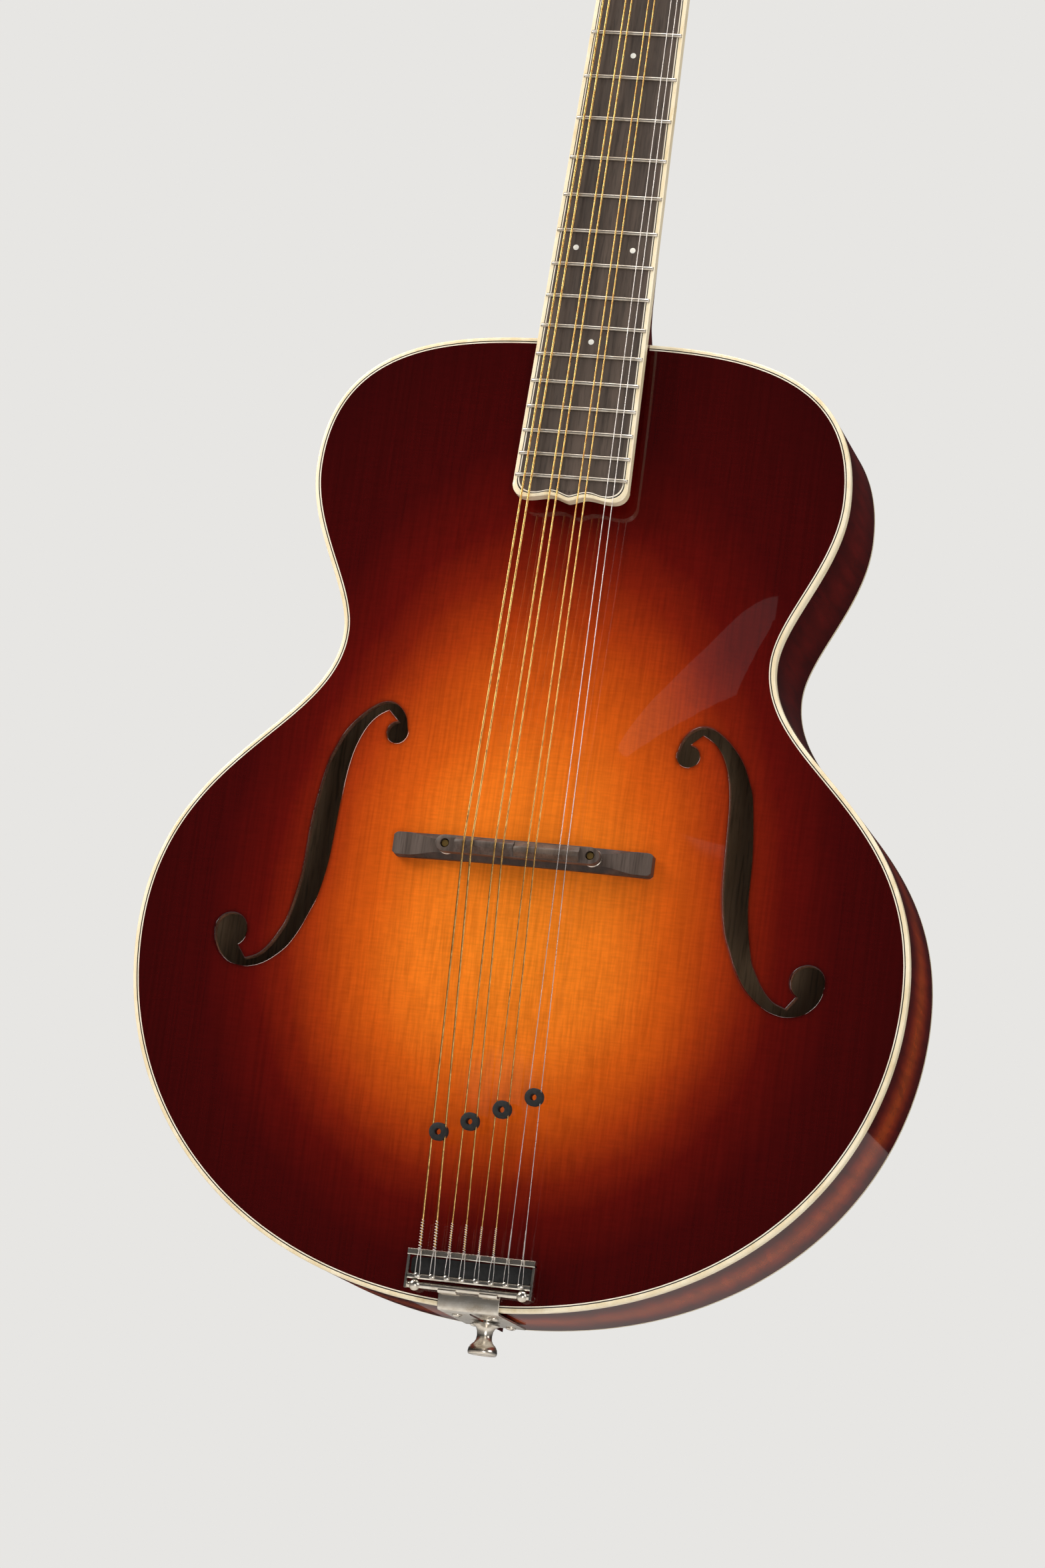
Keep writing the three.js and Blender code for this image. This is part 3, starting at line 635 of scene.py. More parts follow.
def nearest(points, line):
    near = np.full(len(points), 1e9)
    for start in range(0, len(points), 2000):
        part = points[start:start + 2000]
        near[start:start + 2000] = np.hypot(part[:, 0][:, None] - line[:, 0],
                                            part[:, 1][:, None] - line[:, 1]).min(1)
    return near


def plateMesh(edgeLine, holes):
    # triangles that cover a plate, finer at its holes; gives points, triangles and the loops' point numbers
    step = body["meshStep"]
    rows = []
    for row, y in enumerate(np.arange(body["tail"] - 5, body["shoulder"] + 5, step * 0.866)):
        xs = np.arange(-210, 210, step) + (step / 2 if row % 2 else 0)
        rows.append(np.column_stack([xs, np.full(len(xs), y)]))
    grid = np.vstack(rows)
    grid = grid[insideOf(grid, edgeLine)]
    grid = grid[nearest(grid, edgeLine) > 0.6 * step]
    points, edges, loops = [], [], []

    def addLoop(line):
        start = sum(len(p) for p in points)
        points.append(line)
        edges.extend((start + i, start + (i + 1) % len(line)) for i in range(len(line)))
        loops.append(list(range(start, start + len(line))))

    addLoop(edgeLine)
    for hole in holes:
        addLoop(hole)
        outside = ~insideOf(grid, hole)
        grid = grid[outside & (nearest(grid, hole) > 2.6)]
        for reach in (0.16, 0.36, 0.6, 1.2, 2.4):
            ring = inwards(hole, -reach)
            points.append(ring[(nearest(ring, hole) > reach * 0.93) & ~insideOf(ring, hole)])
    points.append(grid)
    spots = np.vstack(points)
    result = delaunay_2d_cdt([Vector(p) for p in spots], edges, [], 0, 1e-4)
    flat = np.array([tuple(p) for p in result[0]])
    numberOf = {}
    for index, origins in enumerate(result[3]):
        for origin in origins:
            numberOf[origin] = index
    triangles = np.array([tuple(face) for face in result[2]])
    middles = flat[triangles].mean(1)
    keep = insideOf(middles, edgeLine)
    for hole in holes:
        keep &= ~insideOf(middles, hole)
    return flat, triangles[keep], [[numberOf[i] for i in loop] for loop in loops]


def carvedPlate(name, edgeInset, level, rise, side, holes):
    # faces are numbered for three finishes: outer face 0, walls 1, inner face 2
    edgeLine = inwards(outline, edgeInset)
    flat, triangles, loops = plateMesh(edgeLine, holes)
    lift = archHeight(flat[:, 0], flat[:, 1], rise)
    holeNear = np.full(len(flat), 99.0)
    for hole in holes:
        dense = evenly(np.vstack([hole, hole[:1]]), 0.25)
        holeNear = np.minimum(holeNear, nearest(flat, dense))
    r = soundHole["rounding"]
    drop = np.where(holeNear < r, r - np.sqrt(np.maximum(r * r - (r - holeNear) ** 2, 0)), 0)
    outer = level + side * (lift - drop)
    inner = level + side * (lift - body["plateThickness"])
    count = len(flat)
    points = [(*flat[i], outer[i]) for i in range(count)] + [(*flat[i], inner[i]) for i in range(count)]
    faces = [tuple(t) if side > 0 else tuple(t[::-1]) for t in triangles]
    slots = [0] * len(faces)
    faces += [tuple(count + i for i in (t[::-1] if side > 0 else t)) for t in triangles]
    slots += [2] * (len(faces) - len(slots))
    for loop in loops:
        for a, b in zip(loop, loop[1:] + loop[:1]):
            faces.append((a, b, count + b, count + a))
    slots += [1] * (len(faces) - len(slots))
    piece = addPiece(name, points, faces, smooth=None)
    piece.data.polygons.foreach_set("material_index", slots[:len(piece.data.polygons)])
    turnOut(piece)
    piece.data.shade_smooth()
    piece.data.set_sharp_from_angle(angle=math.radians(48))
    x, y, _ = benchPoints(piece)
    edgeShade = 0.85 * np.exp(-np.maximum(holeNear - 0.3, 0) / 0.9) * (holeNear < 20)
    setPointValues(piece, "holeShade", np.tile(edgeShade, 2))
    return piece, x, y


inLines = trim["ivory"] + trim["black"] + trim["white"]
holes = [holeOutline(1), holeOutline(-1)]
topPlate, x, y = carvedPlate("topPlate", inLines, 0, body["topArch"], 1, holes)
setPointValues(topPlate, "burst", burstAt(x, y))
finishPiece(topPlate, "instrument", "sunburst_spruce",
            [finishes["burst"], finishes["holeEdge"], finishes["spruce"]],
            "top_plate")

backPlate, x, y = carvedPlate("backPlate", trim["ivory"] + 0.05, -body["rimDepth"], body["backArch"], -1,
                              [])
setPointValues(backPlate, "burst", np.clip(1.15 - 0.83 * burstAt(x, y), 0, 1) ** 1.6 * 0.8)
finishPiece(backPlate, "instrument", "dark_lacquered_wood",
            [finishes["cherry"], finishes["holeEdge"], finishes["maple"]], "back_plate")
print("plates carved:", len(topPlate.data.vertices), "points on the top")


def edgeStrip(name, profile, line, closed=True, smooth=40):
    # a profile of (inset, height) run along the outline
    rings = [inwards(line, inset, closed) for inset, _ in profile]
    sections = [[(*rings[k][i], profile[k][1]) for k in range(len(profile))] for i in range(len(line))]
    points, faces = loft(sections, wrap=closed)
    return turnOut(addPiece(name, points, faces, smooth=smooth))


def bindingProfile(inner, bottom, top, side=1):
    c = trim["corner"]
    turns = [math.radians(a) for a in (0, 30, 60, 90)]
    curve = [(0.03 + c - c * math.cos(turn), c * math.sin(turn)) for turn in turns]
    face = top if side > 0 else bottom
    corner = [(inset, face - side * (c - rise)) for inset, rise in curve]
    far = bottom if side > 0 else top
    return [(0.03, far)] + corner + [(inner, face), (inner, far)]


topBinding = edgeStrip("topBinding", bindingProfile(trim["ivory"], -trim["topDepth"], 0), outline)
finishPiece(topBinding, "instrument", "ivory_plastic", finishes["ivory"], "top_binding")
blackEnd = trim["ivory"] + trim["black"]
lineDepth = -1.4
topBlackLine = edgeStrip("topBlackLine", [(trim["ivory"], lineDepth), (trim["ivory"], 0), (blackEnd, 0),
                                          (blackEnd, lineDepth)], outline)
finishPiece(topBlackLine, "instrument", "ivory_plastic", finishes["blackLine"])
topWhiteLine = edgeStrip("topWhiteLine", [(blackEnd, lineDepth), (blackEnd, 0), (inLines, 0.0),
                                          (inLines, lineDepth)],
                         outline)
finishPiece(topWhiteLine, "instrument", "ivory_plastic", finishes["whiteLine"])
backBinding = edgeStrip("backBinding", bindingProfile(trim["ivory"], -body["rimDepth"],
                                                      -body["rimDepth"] + trim["backDepth"], -1), outline)
finishPiece(backBinding, "instrument", "ivory_plastic", finishes["ivory"], "back_binding")

for side, label in ((-1, "bass"), (1, "treble")):
    line = trebleSide if side > 0 else (trebleSide * [-1, 1])[::-1]
    low, high = -body["rimDepth"] + trim["backDepth"] + 0.02, -trim["topDepth"] - 0.02
    levels = np.linspace(low, high, 12)
    profile = [(0.06, z) for z in levels] + [(body["sideThickness"], z) for z in levels[::-1]]
    rim = edgeStrip(f"rim{label.capitalize()}", profile, line, closed=False)
    x, y, z = benchPoints(rim)
    # the sides' own burst is a lighter amber band along their middle; it is made stronger towards the lower
    # bout, and that part is painted reflection
    across = np.exp(-((z + 42) / 24) ** 2)
    lower = 0.35 + 0.65 * np.clip((-y - 560) / 110, 0, 1)
    setPointValues(rim, "burst", 0.72 * across * lower)
    finishPiece(rim, "instrument", "dark_lacquered_wood", finishes["cherry"], f"rim_{label}")
print("sides bent and bound")

# the blocks, linings and tone bars inside keep their shape and get bare wood
insideWoods = {
    "neck_block": "mahogany", "tail_block": "mahogany", "top_lining_bass": "spruce",
    "top_lining_treble": "spruce",
    "tone_bar_bass": "spruce", "tone_bar_treble": "spruce", "truss_rod": "blackSteel",
}
for node, wood in insideWoods.items():
    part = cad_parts[node]
    part.data.materials.clear()
    part.data.materials.append(finishes[wood])


neckShape = {
    "sectionPoints": 32,
    "heelBottom": -79,
    "boardThickness": 6.3,
    # along the neck, top of the section, its depth, half width, squareness
    "stations": [(24, -12.0, 7.5, 22, 5), (14, -9.6, 11.8, 21.8, 4.6), (8, -8.2, 13.9, 21.5, 4),
                 (0, -6.35, 15.2, None, 2.9), (-14, -6.35, 14.9, None, 2.2), (-35, -6.35, 14.6, None, 2),
                 (-120, -6.35, 15.3, None, 2),
                 (-200, -6.35, 16, None, 2), (-290, -6.35, 17, None, 2), (-308, -6.35, 19.5, None, 2),
                 (-322, -6.35, 28, None, 1.85), (-332, -6.35, 42, None, 1.65),
                 (-340, -6.35, 62, None, 1.5),
                 (-346, -6.35, 90, None, 1.45), (-354, -6.35, 104, None, 1.45)],
}
board = {
    "halfAtNut": 20.9,
    "widening": 0.0221,
    "end": -442.5,
    "crown": 0.42,               # how much lower the board is at its edges
    "ivory": 2.0,
    "black": 0.5,
    "white": 0.55,
    "fretWidth": 2.1,
    "fretHeight": 1.1,
    "fretCount": 20,
    "dots": [(3, 0.5), (5, 0.5), (7, 0.5), (12, 0.22), (12, 0.77), (15, 0.5)],
    "dotSize": 3.0,
}
head = {
    "thickness": 13.0,
    "veneer": 2.0,
    "side": [(21.5, 0), (23, 8), (31, 24), (35.5, 34), (37.5, 90), (40.5, 158), (41.5, 170)],
    "crest": [(33, 176.5), (21, 174.5), (10, 176.5), (0, 182.6)],
    "trim": 1.6,
}
headBack = -head["veneer"] - 0.3 - head["thickness"]


def boardHalf(y):
    return board["halfAtNut"] - board["widening"] * y


def fretAt(number):
    return -neckSet["scaleLength"] * (1 - 2 ** (-number / 12))


def boardTop(x):
    return -board["crown"] * (x / 31) ** 2


def neckRings():
    marks = np.array([[s[0], s[1], s[2], s[3] if s[3] else boardHalf(s[0]) - 0.35, s[4]]
                      for s in neckShape["stations"]])
    fine = np.array(smoothPath([tuple(m) for m in marks], 4))
    rings = []
    n = neckShape["sectionPoints"]
    for y, top, depth, half, square in fine:
        ring = []
        for i in range(n):
            turn = math.pi * i / (n - 1)
            across = math.copysign(abs(math.cos(turn)) ** (2 / square), math.cos(turn))
            ring.append((half * across, y, top - depth * max(math.sin(turn), 0) ** (2 / square)))
        rings.append(ring)
    return rings


def headOutline(margin):
    # up the treble side, over the crest and down the bass side, moved in by a margin
    side = np.array(smoothPath(head["side"], 5))
    crest = np.array(smoothPath(head["crest"], 5))
    half = np.vstack([side, crest[:-1]])
    line = np.vstack([half, [[0, head["crest"][-1][1]]], (half * [-1, 1])[::-1]])
    along = np.gradient(line, axis=0)
    along /= np.hypot(*along.T)[:, None]
    moved = line - np.column_stack([along[:, 1], -along[:, 0]]) * margin
    moved[[0, -1], 1] = 0
    return moved


def bake(piece):
    # applies the modifiers to the mesh
    seen = piece.evaluated_get(bpy.context.evaluated_depsgraph_get())
    mesh = bpy.data.meshes.new_from_object(seen)
    piece.modifiers.clear()
    piece.data = mesh
    return piece


def carve(piece, tools, operation="DIFFERENCE"):
    for tool in tools:
        turnOut(tool)
        cutter = piece.modifiers.new(operation.lower(), "BOOLEAN")
        cutter.operation = operation
        cutter.object = tool
        cutter.solver = "EXACT"
    bpy.context.view_layer.update()
    bake(piece)
    for tool in tools:
        bpy.data.objects.remove(tool)
    return piece


tuner = {
    "pitch": 27,
    "first": 42,
    "fromMiddle": 25,
    "teeth": 15,
    "gearRadius": 4.5,
    "wormAway": 6.8,
    "wormLevel": -18.8,
    "boreRadius": 3.7,
}
tunerPlaces = [(side, number, side * tuner["fromMiddle"], tuner["first"] + tuner["pitch"] * (number - 1))
               for side in (-1, 1) for number in (1, 2, 3, 4)]
postRings = [turned([(tuner["boreRadius"], -40), (tuner["boreRadius"], 20)], x, y, sides=28)
             for side, number, x, y in tunerPlaces]

neckPiece = turnOut(addPiece("neck", *loft(neckRings()), place=neckPlace, smooth=None))
headCore = addPiece("headCore", *slab(headOutline(0), headBack, -head["veneer"] - 0.02), place=headPlace,
                    smooth=None)
insideBody = addPiece("insideBody", *slab([(x, y) for x, y in outline], -120, 0.0), smooth=None)
belowHeel = addPiece("belowHeel", *brick(-60, 60, -380, -250, -200, neckShape["heelBottom"]), smooth=None)
bores = addPiece("bores", *gather(*postRings), place=headPlace, smooth=None)
carve(neckPiece, [headCore], "UNION")
carve(neckPiece, [insideBody, belowHeel, bores])


def boardSupport():
    # the neck runs on under the board, above the top
    under = -neckShape["boardThickness"] - 0.05
    rings = []
    for y in np.linspace(-352, -435, 18):
        ring = []
        for x in (-24, -20, 0, 20, 24):
            spot = neckPlace(x, y, under) * 1000
            ring.append((x, spot.z, -spot.y))
        for x in (24, 12, 0, -12, -24):
            spot = neckPlace(x, y, under) * 1000
            ring.append((x, spot.z, float(archHeight(x, spot.z)) - 0.1))
        rings.append(ring)
    return turnOut(addPiece("boardSupport", *loft(rings), smooth=30))


neckPiece.data.shade_smooth()
neckPiece.data.set_sharp_from_angle(angle=math.radians(42))
roundEdges(neckPiece, 0.8, 3, 50)
x, y, z = benchPoints(neckPiece)
setPointValues(neckPiece, "burst", 0.16 + 0.25 * np.exp(-((y + 170) / 110) ** 2))
finishPiece(neckPiece, "instrument", "dark_lacquered_wood", finishes["cherry"], "neck")
finishPiece(boardSupport(), "instrument", "dark_lacquered_wood", finishes["cherry"])


def heelOutline():
    half = bezier((0, -332.5), (6, -332.5), (13, -338), (15, -345), 12)
    half = np.vstack([half, [(15.4, -350.9)]])
    return np.vstack([half, (half[1:] * [-1, 1])[::-1]])


heelCap = addPiece("heelCap", *slab(heelOutline(), -body["rimDepth"], neckShape["heelBottom"] - 0.02),
                   smooth=30,
                   bevel=0.6)
finishPiece(turnOut(heelCap), "instrument", "ivory_plastic", finishes["ivory"], "heel_cap")


def boardOutline(margin, start=0.0):
    # straight sides, round corners, and an end that dips on each side of a small point
    end = board["end"] + margin
    corner = boardHalf(end) - margin
    straight = [(boardHalf(y) - margin, y) for y in np.linspace(start, end + 8, 60)]
    turn = bezier((corner + 0.0, end + 8), (corner - 0.1, end + 3), (corner - 3, end), (corner - 8, end),
                  14)[1:]
    dip = bezier((corner - 8, end), (corner - 13, end), (14, end + 1.7), (9.5, end + 1.7), 12)[1:]
    point = bezier((9.5, end + 1.7), (6, end + 1.7), (3, end - 0.5), (0, end - 0.9), 12)[1:]
    half = np.vstack([straight, turn, dip, point])
    return np.vstack([half, (half[:-1] * [-1, 1])[::-1]])


def boardStrip(name, outer, inner, bottom, top, rounded=0.0):
    # a strip that follows the board's sides and end, open at the nut; its top follows the board's crown
    lines = [boardOutline(outer), boardOutline(outer + rounded), boardOutline(inner)]
    rings = []
    for a, b, c in zip(*lines):
        rings.append([(*a, bottom), (*a, top + boardTop(a[0]) - rounded), (*b, top + boardTop(b[0])),
                      (*c, top + boardTop(c[0])), (*c, bottom)])
    return turnOut(addPiece(name, *loft(rings), place=neckPlace, smooth=40))


def fingerboard():
    inside = board["ivory"] + board["black"] + board["white"]
    edge = boardOutline(inside)
    half = len(edge) // 2
    treble, bass = edge[:half + 1], edge[half:][::-1]
    top, low = [], []
    for a, b in zip(treble, bass):
        across = [a + (b - a) * share for share in np.linspace(0, 1, 13)]
        top.append([(p[0], p[1], boardTop(p[0])) for p in across])
        low.append([(p[0], p[1], -neckShape["boardThickness"]) for p in across[::-1]])
    rings = [upper + lower for upper, lower in zip(top, low)]
    return turnOut(addPiece("fingerboard", *loft(rings), place=neckPlace, smooth=35))


fingerboardPiece = fingerboard()
finishPiece(fingerboardPiece, "instrument", "ebony", finishes["board"], "fingerboard")
stops = [0, board["ivory"], board["ivory"] + board["black"],
         board["ivory"] + board["black"] + board["white"]]
boardIvory = boardStrip("boardBinding", stops[0], stops[1], -neckShape["boardThickness"], 0, 0.35)
finishPiece(boardIvory, "instrument", "ivory_plastic", finishes["ivory"], "fingerboard_binding")
boardBlack = boardStrip("boardBlackLine", stops[1], stops[2], -1.5, 0)
finishPiece(boardBlack, "instrument", "ivory_plastic", finishes["blackLine"])
boardWhite = boardStrip("boardWhiteLine", stops[2], stops[3], -1.5, 0.01)
finishPiece(boardWhite, "instrument", "ivory_plastic", finishes["whiteLine"])


def fretWire(number):
    # a crowned wire over the binding, with its ends filed back at a slant
    y = fretAt(number)
    half = boardHalf(y) - 0.55
    width, height = board["fretWidth"] / 2, board["fretHeight"]
    rings = []
    stations = [(-half, 0.25), (-half + 0.35, 0.75)]
    stations += [(x, 1.0) for x in np.linspace(-half + 0.9, half - 0.9, 12)]
    stations += [(half - 0.35, 0.75), (half, 0.25)]
    for x, size in stations:
        floor = boardTop(x) - 0.05
        peak = height * size + 0.05
        ring = [(x, y - width, floor), (x, y + width, floor)]
        for angle in (20, 50, 75, 90, 105, 130, 160):
            turn = math.radians(angle)
            ring.append((x, y + width * math.cos(turn) * (0.9 if size < 1 else 1),
                         floor + peak * math.sin(turn) ** 0.8))
        rings.append(ring)
    return turnOut(addPiece(f"fret{number}", *loft(rings), place=neckPlace, smooth=60))


for number in range(1, board["fretCount"] + 1):
    finishPiece(fretWire(number), "instrument", "nickel", finishes["fretWire"])

dots = []
for fret, share in board["dots"]:
    y = (fretAt(fret) + fretAt(fret - 1)) / 2
    x = (2 * share - 1) * boardHalf(y)
    r = board["dotSize"] / 2
    z = float(boardTop(x))
    dots.append(turned([(r, z - 1), (r, z + 0.015), (r - 0.1, z + 0.05), (0.01, z + 0.06)], x, y,
                       sides=28))
positionDots = turnOut(addPiece("positionDots", *gather(*dots), place=neckPlace, smooth=30))
finishPiece(positionDots, "instrument", "ivory_plastic", finishes["pearl"])
print("neck shaped, board bound and fretted")

nut = {
    "half": 20.6,
    "top": 2.35,
}
rodCover = {
    "half": [(0, 28), (1.1, 24.6), (3, 22), (5.6, 18), (7.4, 11), (8, 3)],
    "thickness": 1.5,
}
strings = {
    "radii": (0.55, 0.45, 0.38, 0.2),      # bass to treble, two of each
    "atNut": (-15.8, -5.3, 5.3, 15.8),
    "pairAtNut": 2.9,
    "atSaddle": (-25, -8.5, 8.5, 25),
    "pairAtSaddle": 4.2,
    "saddleHeight": 31.3,
    "atTail": 7.66,                        # from string to string
    "tailHeight": 8.9,
    "tailLine": -834.1,
    "windings": 3.3,                       # turns round the post
    "twist": 15,                           # length of the twisted loop end
}
bridge = {
    "line": -628,
    "half": 68,
    "width": 12.6,
    "postAt": 38,
    "top": [(0, 17.2), (46, 17.2), (51, 16.8), (68, 16.2)],
    "padWidth": 5.7,
    "waistWidth": 3.3,
    "band": 3.2,
    "saddleBottom": 21.5,
    "saddleTop": 27.4,
    "saddleRound": 5.0,
    "saddleWidth": 0.88,         # of the round ends' width
    "wheelRadius": 4.8,
    "wheelRidges": 44,
}


def stringSpots(number):
    # where string 0 to 7 runs, and its radius
    course, pair = number // 2, number % 2 - 0.5
    return {
        "radius": strings["radii"][course],
        "nut": strings["atNut"][course] + pair * strings["pairAtNut"],
        "saddle": strings["atSaddle"][course] + pair * strings["pairAtSaddle"],
        "tail": (number - 3.5) * strings["atTail"],
        "side": -1 if number < 4 else 1,
        "tuner": (number if number < 4 else 7 - number) + 1,
    }


def notched(x, top, spots, sink):
    # a bearing edge with a round notch under each string
    height = top
    for middle, radius, floor in spots:
        reach = abs(x - middle)
        if reach < radius + sink:
            height = min(height, floor + max(0.0, reach - radius * 0.6) * 0.5)
    return height


def notchStations(low, high, spots, plain=3.0):
    places = list(np.arange(low, high, plain)) + [high]
    for middle, radius, _ in spots:
        places += [middle + radius * share for share in (-1.6, -1.3, -0.9, -0.4, 0.4, 0.9, 1.3, 1.6)]
    return sorted(set(round(float(p), 3) for p in places if low <= p <= high))


def nutPiece():
    spots = [(s["nut"], s["radius"], 1.6) for s in map(stringSpots, range(8))]
    rings = []
    for x in notchStations(-nut["half"], nut["half"], spots):
        edge = min(1.0, (nut["half"] - abs(x)) / 0.8)
        top = notched(x, nut["top"] - 0.5 * (1 - edge), spots, 0.12)
        rings.append([(x, 0.1, -6.2), (x, 0.1, top - 0.12), (x, 0.45, top), (x, 2.4, top - 0.1),
                      (x, 4.3, top - 0.65), (x, 4.95, top - 1.3), (x, 5.0, -6.2)])
    return turnOut(addPiece("nut", *loft(rings), place=neckPlace, smooth=50))


finishPiece(nutPiece(), "instrument", "bone", finishes["bone"], "nut")

veneerPiece = addPiece("veneer", *slab(headOutline(head["trim"]), -head["veneer"], 0), place=headPlace,
                       smooth=None)
carve(veneerPiece, [turnOut(addPiece("veneerBores", *gather(*[turned([(3.7, -4), (3.7, 3)], x, y) for
                                     side, number, x, y in tunerPlaces]), place=headPlace, smooth=None))])
roundEdges(veneerPiece, 0.15, 1, 50)
finishPiece(veneerPiece, "instrument", "ebony", finishes["veneer"], "headstock_veneer")


def headTrim():
    lines = [headOutline(0.02), headOutline(0.35), headOutline(head["trim"])]
    rings = [[(*a, -3.6), (*a, -0.35), (*b, 0.0), (*c, 0.0), (*c, -3.6)] for a, b, c in zip(*lines)]
    return turnOut(addPiece("headBinding", *loft(rings), place=headPlace, smooth=50))


finishPiece(headTrim(), "instrument", "ivory_plastic", finishes["ivory"])


def ringPiece(name, section, x, y, place=bench, sides=36, smooth=40):
    # a closed section of (radius, height) carried round an upright line
    rings = []
    for i in range(sides):
        turn = math.tau * i / sides
        rings.append([(x + r * math.cos(turn), y + r * math.sin(turn), z) for r, z in section])
    return turnOut(addPiece(name, *loft(rings, wrap=True), place=place, smooth=smooth))


for side, number, x, y in tunerPlaces:
    label = f"{'bass' if side < 0 else 'treble'}{number}"
    collar = [(3.15, -1.5), (3.15, 1.0), (3.4, 1.35), (4.3, 1.35), (5.3, 0.7), (5.5, 0.1), (5.5, 0.02),
              (3.66, 0.02),
              (3.66, -1.5)]
    finishPiece(ringPiece(f"bushing{label}", collar, x, y, headPlace), "instrument", "nickel",
                finishes["nickel"])


def slottedScrew(x, y, z, radius, height, turn, flip=1):
    # a round head with a slot, facing up or down
    rise = [(0.99, 0.0), (1.0, 0.22), (0.93, 0.55), (0.72, 0.85), (0.42, 1.0)]
    dome = turned([(radius * r, flip * height * h) for r, h in rise], x, y, z, 22)
    c, s = math.cos(turn), math.sin(turn)
    slot = []
    for u, v in ((-1.1, -0.13), (1.1, -0.13), (1.1, 0.13), (-1.1, 0.13)):
        slot.append((x + radius * (u * c - v * s), y + radius * (u * s + v * c)))
    low, high = sorted((z + flip * height * 0.55, z + flip * height * 1.4))
    return dome, slab(slot, low, high)


def screwSet(name, spots, radius, height, place, body, flip=1):
    domes, slots = [], []
    for i, (x, y, z) in enumerate(spots):
        dome, slot = slottedScrew(x, y, z, radius, height, 0.6 + 1.1 * i, flip)
        domes.append(dome)
        slots.append(slot)
    piece = turnOut(addPiece(name, *gather(*domes), place=place, smooth=None))
    carve(piece, [addPiece(name + "Slots", *gather(*slots), place=place, smooth=None)])
    piece.data.shade_smooth()
    piece.data.set_sharp_from_angle(angle=math.radians(40))
    return finishPiece(piece, body, "nickel", finishes["nickel"])


coverHalf = np.array(smoothPath(rodCover["half"], 6))
coverLine = np.vstack([coverHalf, (coverHalf[1:] * [-1, 1])[::-1]])
cover = turnOut(addPiece("rodCover", *slab(coverLine, 0.05, rodCover["thickness"]), place=headPlace,
                         smooth=30,
                         bevel=0.35))
finishPiece(cover, "instrument", "ebony", finishes["veneer"], "truss_rod_cover")
screwSet("coverScrews", [(-5.3, 6, 1.5), (5.3, 6, 1.5), (0, 21, 1.5)], 1.35, 0.7, headPlace, "instrument")
print("headstock dressed")


def bridgeBase():
    rings = []
    half, wide = bridge["half"], bridge["width"] / 2
    for x in np.linspace(-half, half, 93):
        top = np.interp(abs(x), *zip(*bridge["top"]))
        share = np.clip((abs(x) - 43) / 17, 0, 1)
        share = share * share * (3 - 2 * share)
        flatHalf = bridge["waistWidth"] + (bridge["padWidth"] - bridge["waistWidth"]) * share
        endRound = math.sqrt(max(0.0, 1 - np.clip((abs(x) - (half - 3)) / 3, 0, 1) ** 2)) * 0.25 + 0.75
        w, f = wide * endRound, flatHalf * endRound
        lows = [(y, float(archHeight(x, bridge["line"] + y)) + 0.06) for y in (-w, -w / 2, 0, w / 2, w)]
        band = min(bridge["band"], 0.6 * (top - lows[2][1]))
        ring = [(x, bridge["line"] + y, z) for y, z in lows]
        ring += [(x, bridge["line"] + w, lows[4][1] + band),
                 (x, bridge["line"] + w - 0.35, lows[4][1] + band + 0.4),
                 (x, bridge["line"] + f + 0.25, top - 0.25), (x, bridge["line"] + f, top),
                 (x, bridge["line"] - f, top), (x, bridge["line"] - f - 0.25, top - 0.25),
                 (x, bridge["line"] - w + 0.35, lows[0][1] + band + 0.4),
                 (x, bridge["line"] - w, lows[0][1] + band)]
        rings.append(ring)
    return turnOut(addPiece("bridgeBase", *loft(rings), smooth=None))


def postBores(name, radius, low, high):
    return addPiece(name, *gather(*[turned([(radius, low), (radius, high)], side * bridge["postAt"],
                                           bridge["line"])
                                    for side in (-1, 1)]), smooth=None)


def softEdges(piece, angle=38):
    piece.data.shade_smooth()
    piece.data.set_sharp_from_angle(angle=math.radians(angle))
    return piece


basePiece = softEdges(carve(bridgeBase(), [postBores("baseBores", 2.3, 13.7, 30)]))
# painted light by facing: upward faces get the lighter grey ebony with its painted sheen; the streaked
# brown of the slopes and ends is the wood's own
for face in basePiece.data.polygons:
    face.material_index = 0 if face.normal.y < -0.97 else 1
finishPiece(basePiece, "instrument", "ebony", [finishes["bridge"], finishes["bridgeFace"]], "bridge_base")


def stadium(half, radius, count=20):
    return arcPoints(half, 0, radius, -90, 90, count) + arcPoints(-half, 0, radius, 90, 270, count)


def saddlePiece():
    line = bridge["line"]
    corner = 0.5
    rings = []
    for inset, z in ((corner, bridge["saddleBottom"]), (0.15, bridge["saddleBottom"] + 0.15),
                     (0, bridge["saddleBottom"] + corner),
                     (0, bridge["saddleTop"] - corner), (0.15, bridge["saddleTop"] - 0.15),
                     (corner, bridge["saddleTop"])):
        rings.append([(x, line + y * bridge["saddleWidth"], z)
                      for x, y in stadium(bridge["postAt"], bridge["saddleRound"] - inset)])
    saddleBody = turnOut(addPiece("saddle", *loft(rings), smooth=None))
    return carve(saddleBody, [postBores("saddleBores", 2.35, 10, 40)])


def saddleCrest(name, low, high, shift, top):
    # the roof that carries the strings; the treble half stands a little higher and nearer the tail
    line = bridge["line"] + shift
    spots = [(s["saddle"], s["radius"], strings["saddleHeight"] - s["radius"])
             for s in map(stringSpots, range(8))]
    rings = []
    for x in notchStations(low, high, spots, 2.0):
        edge = min(1.0, (x - low) / 2.2, (high - x) / 2.2)
        foot = bridge["saddleTop"] - 0.5
        peak = notched(x, top - 1.2 * (1 - edge) ** 2, spots, 0.1)
        rings.append([(x, line - 4.0 - shift, foot), (x, line - 3.8 - shift, foot + 0.7),
                      (x, line - 1.9, peak - 1.3),
                      (x, line - 1.25, peak - 0.25), (x, line - 0.8, peak), (x, line + 0.8, peak),
                      (x, line + 1.25, peak - 0.25), (x, line + 1.9, peak - 1.3),
                      (x, line + 3.8 - shift, foot + 0.7), (x, line + 4.0 - shift, foot)])
    return turnOut(addPiece(name, *loft(rings), smooth=40))


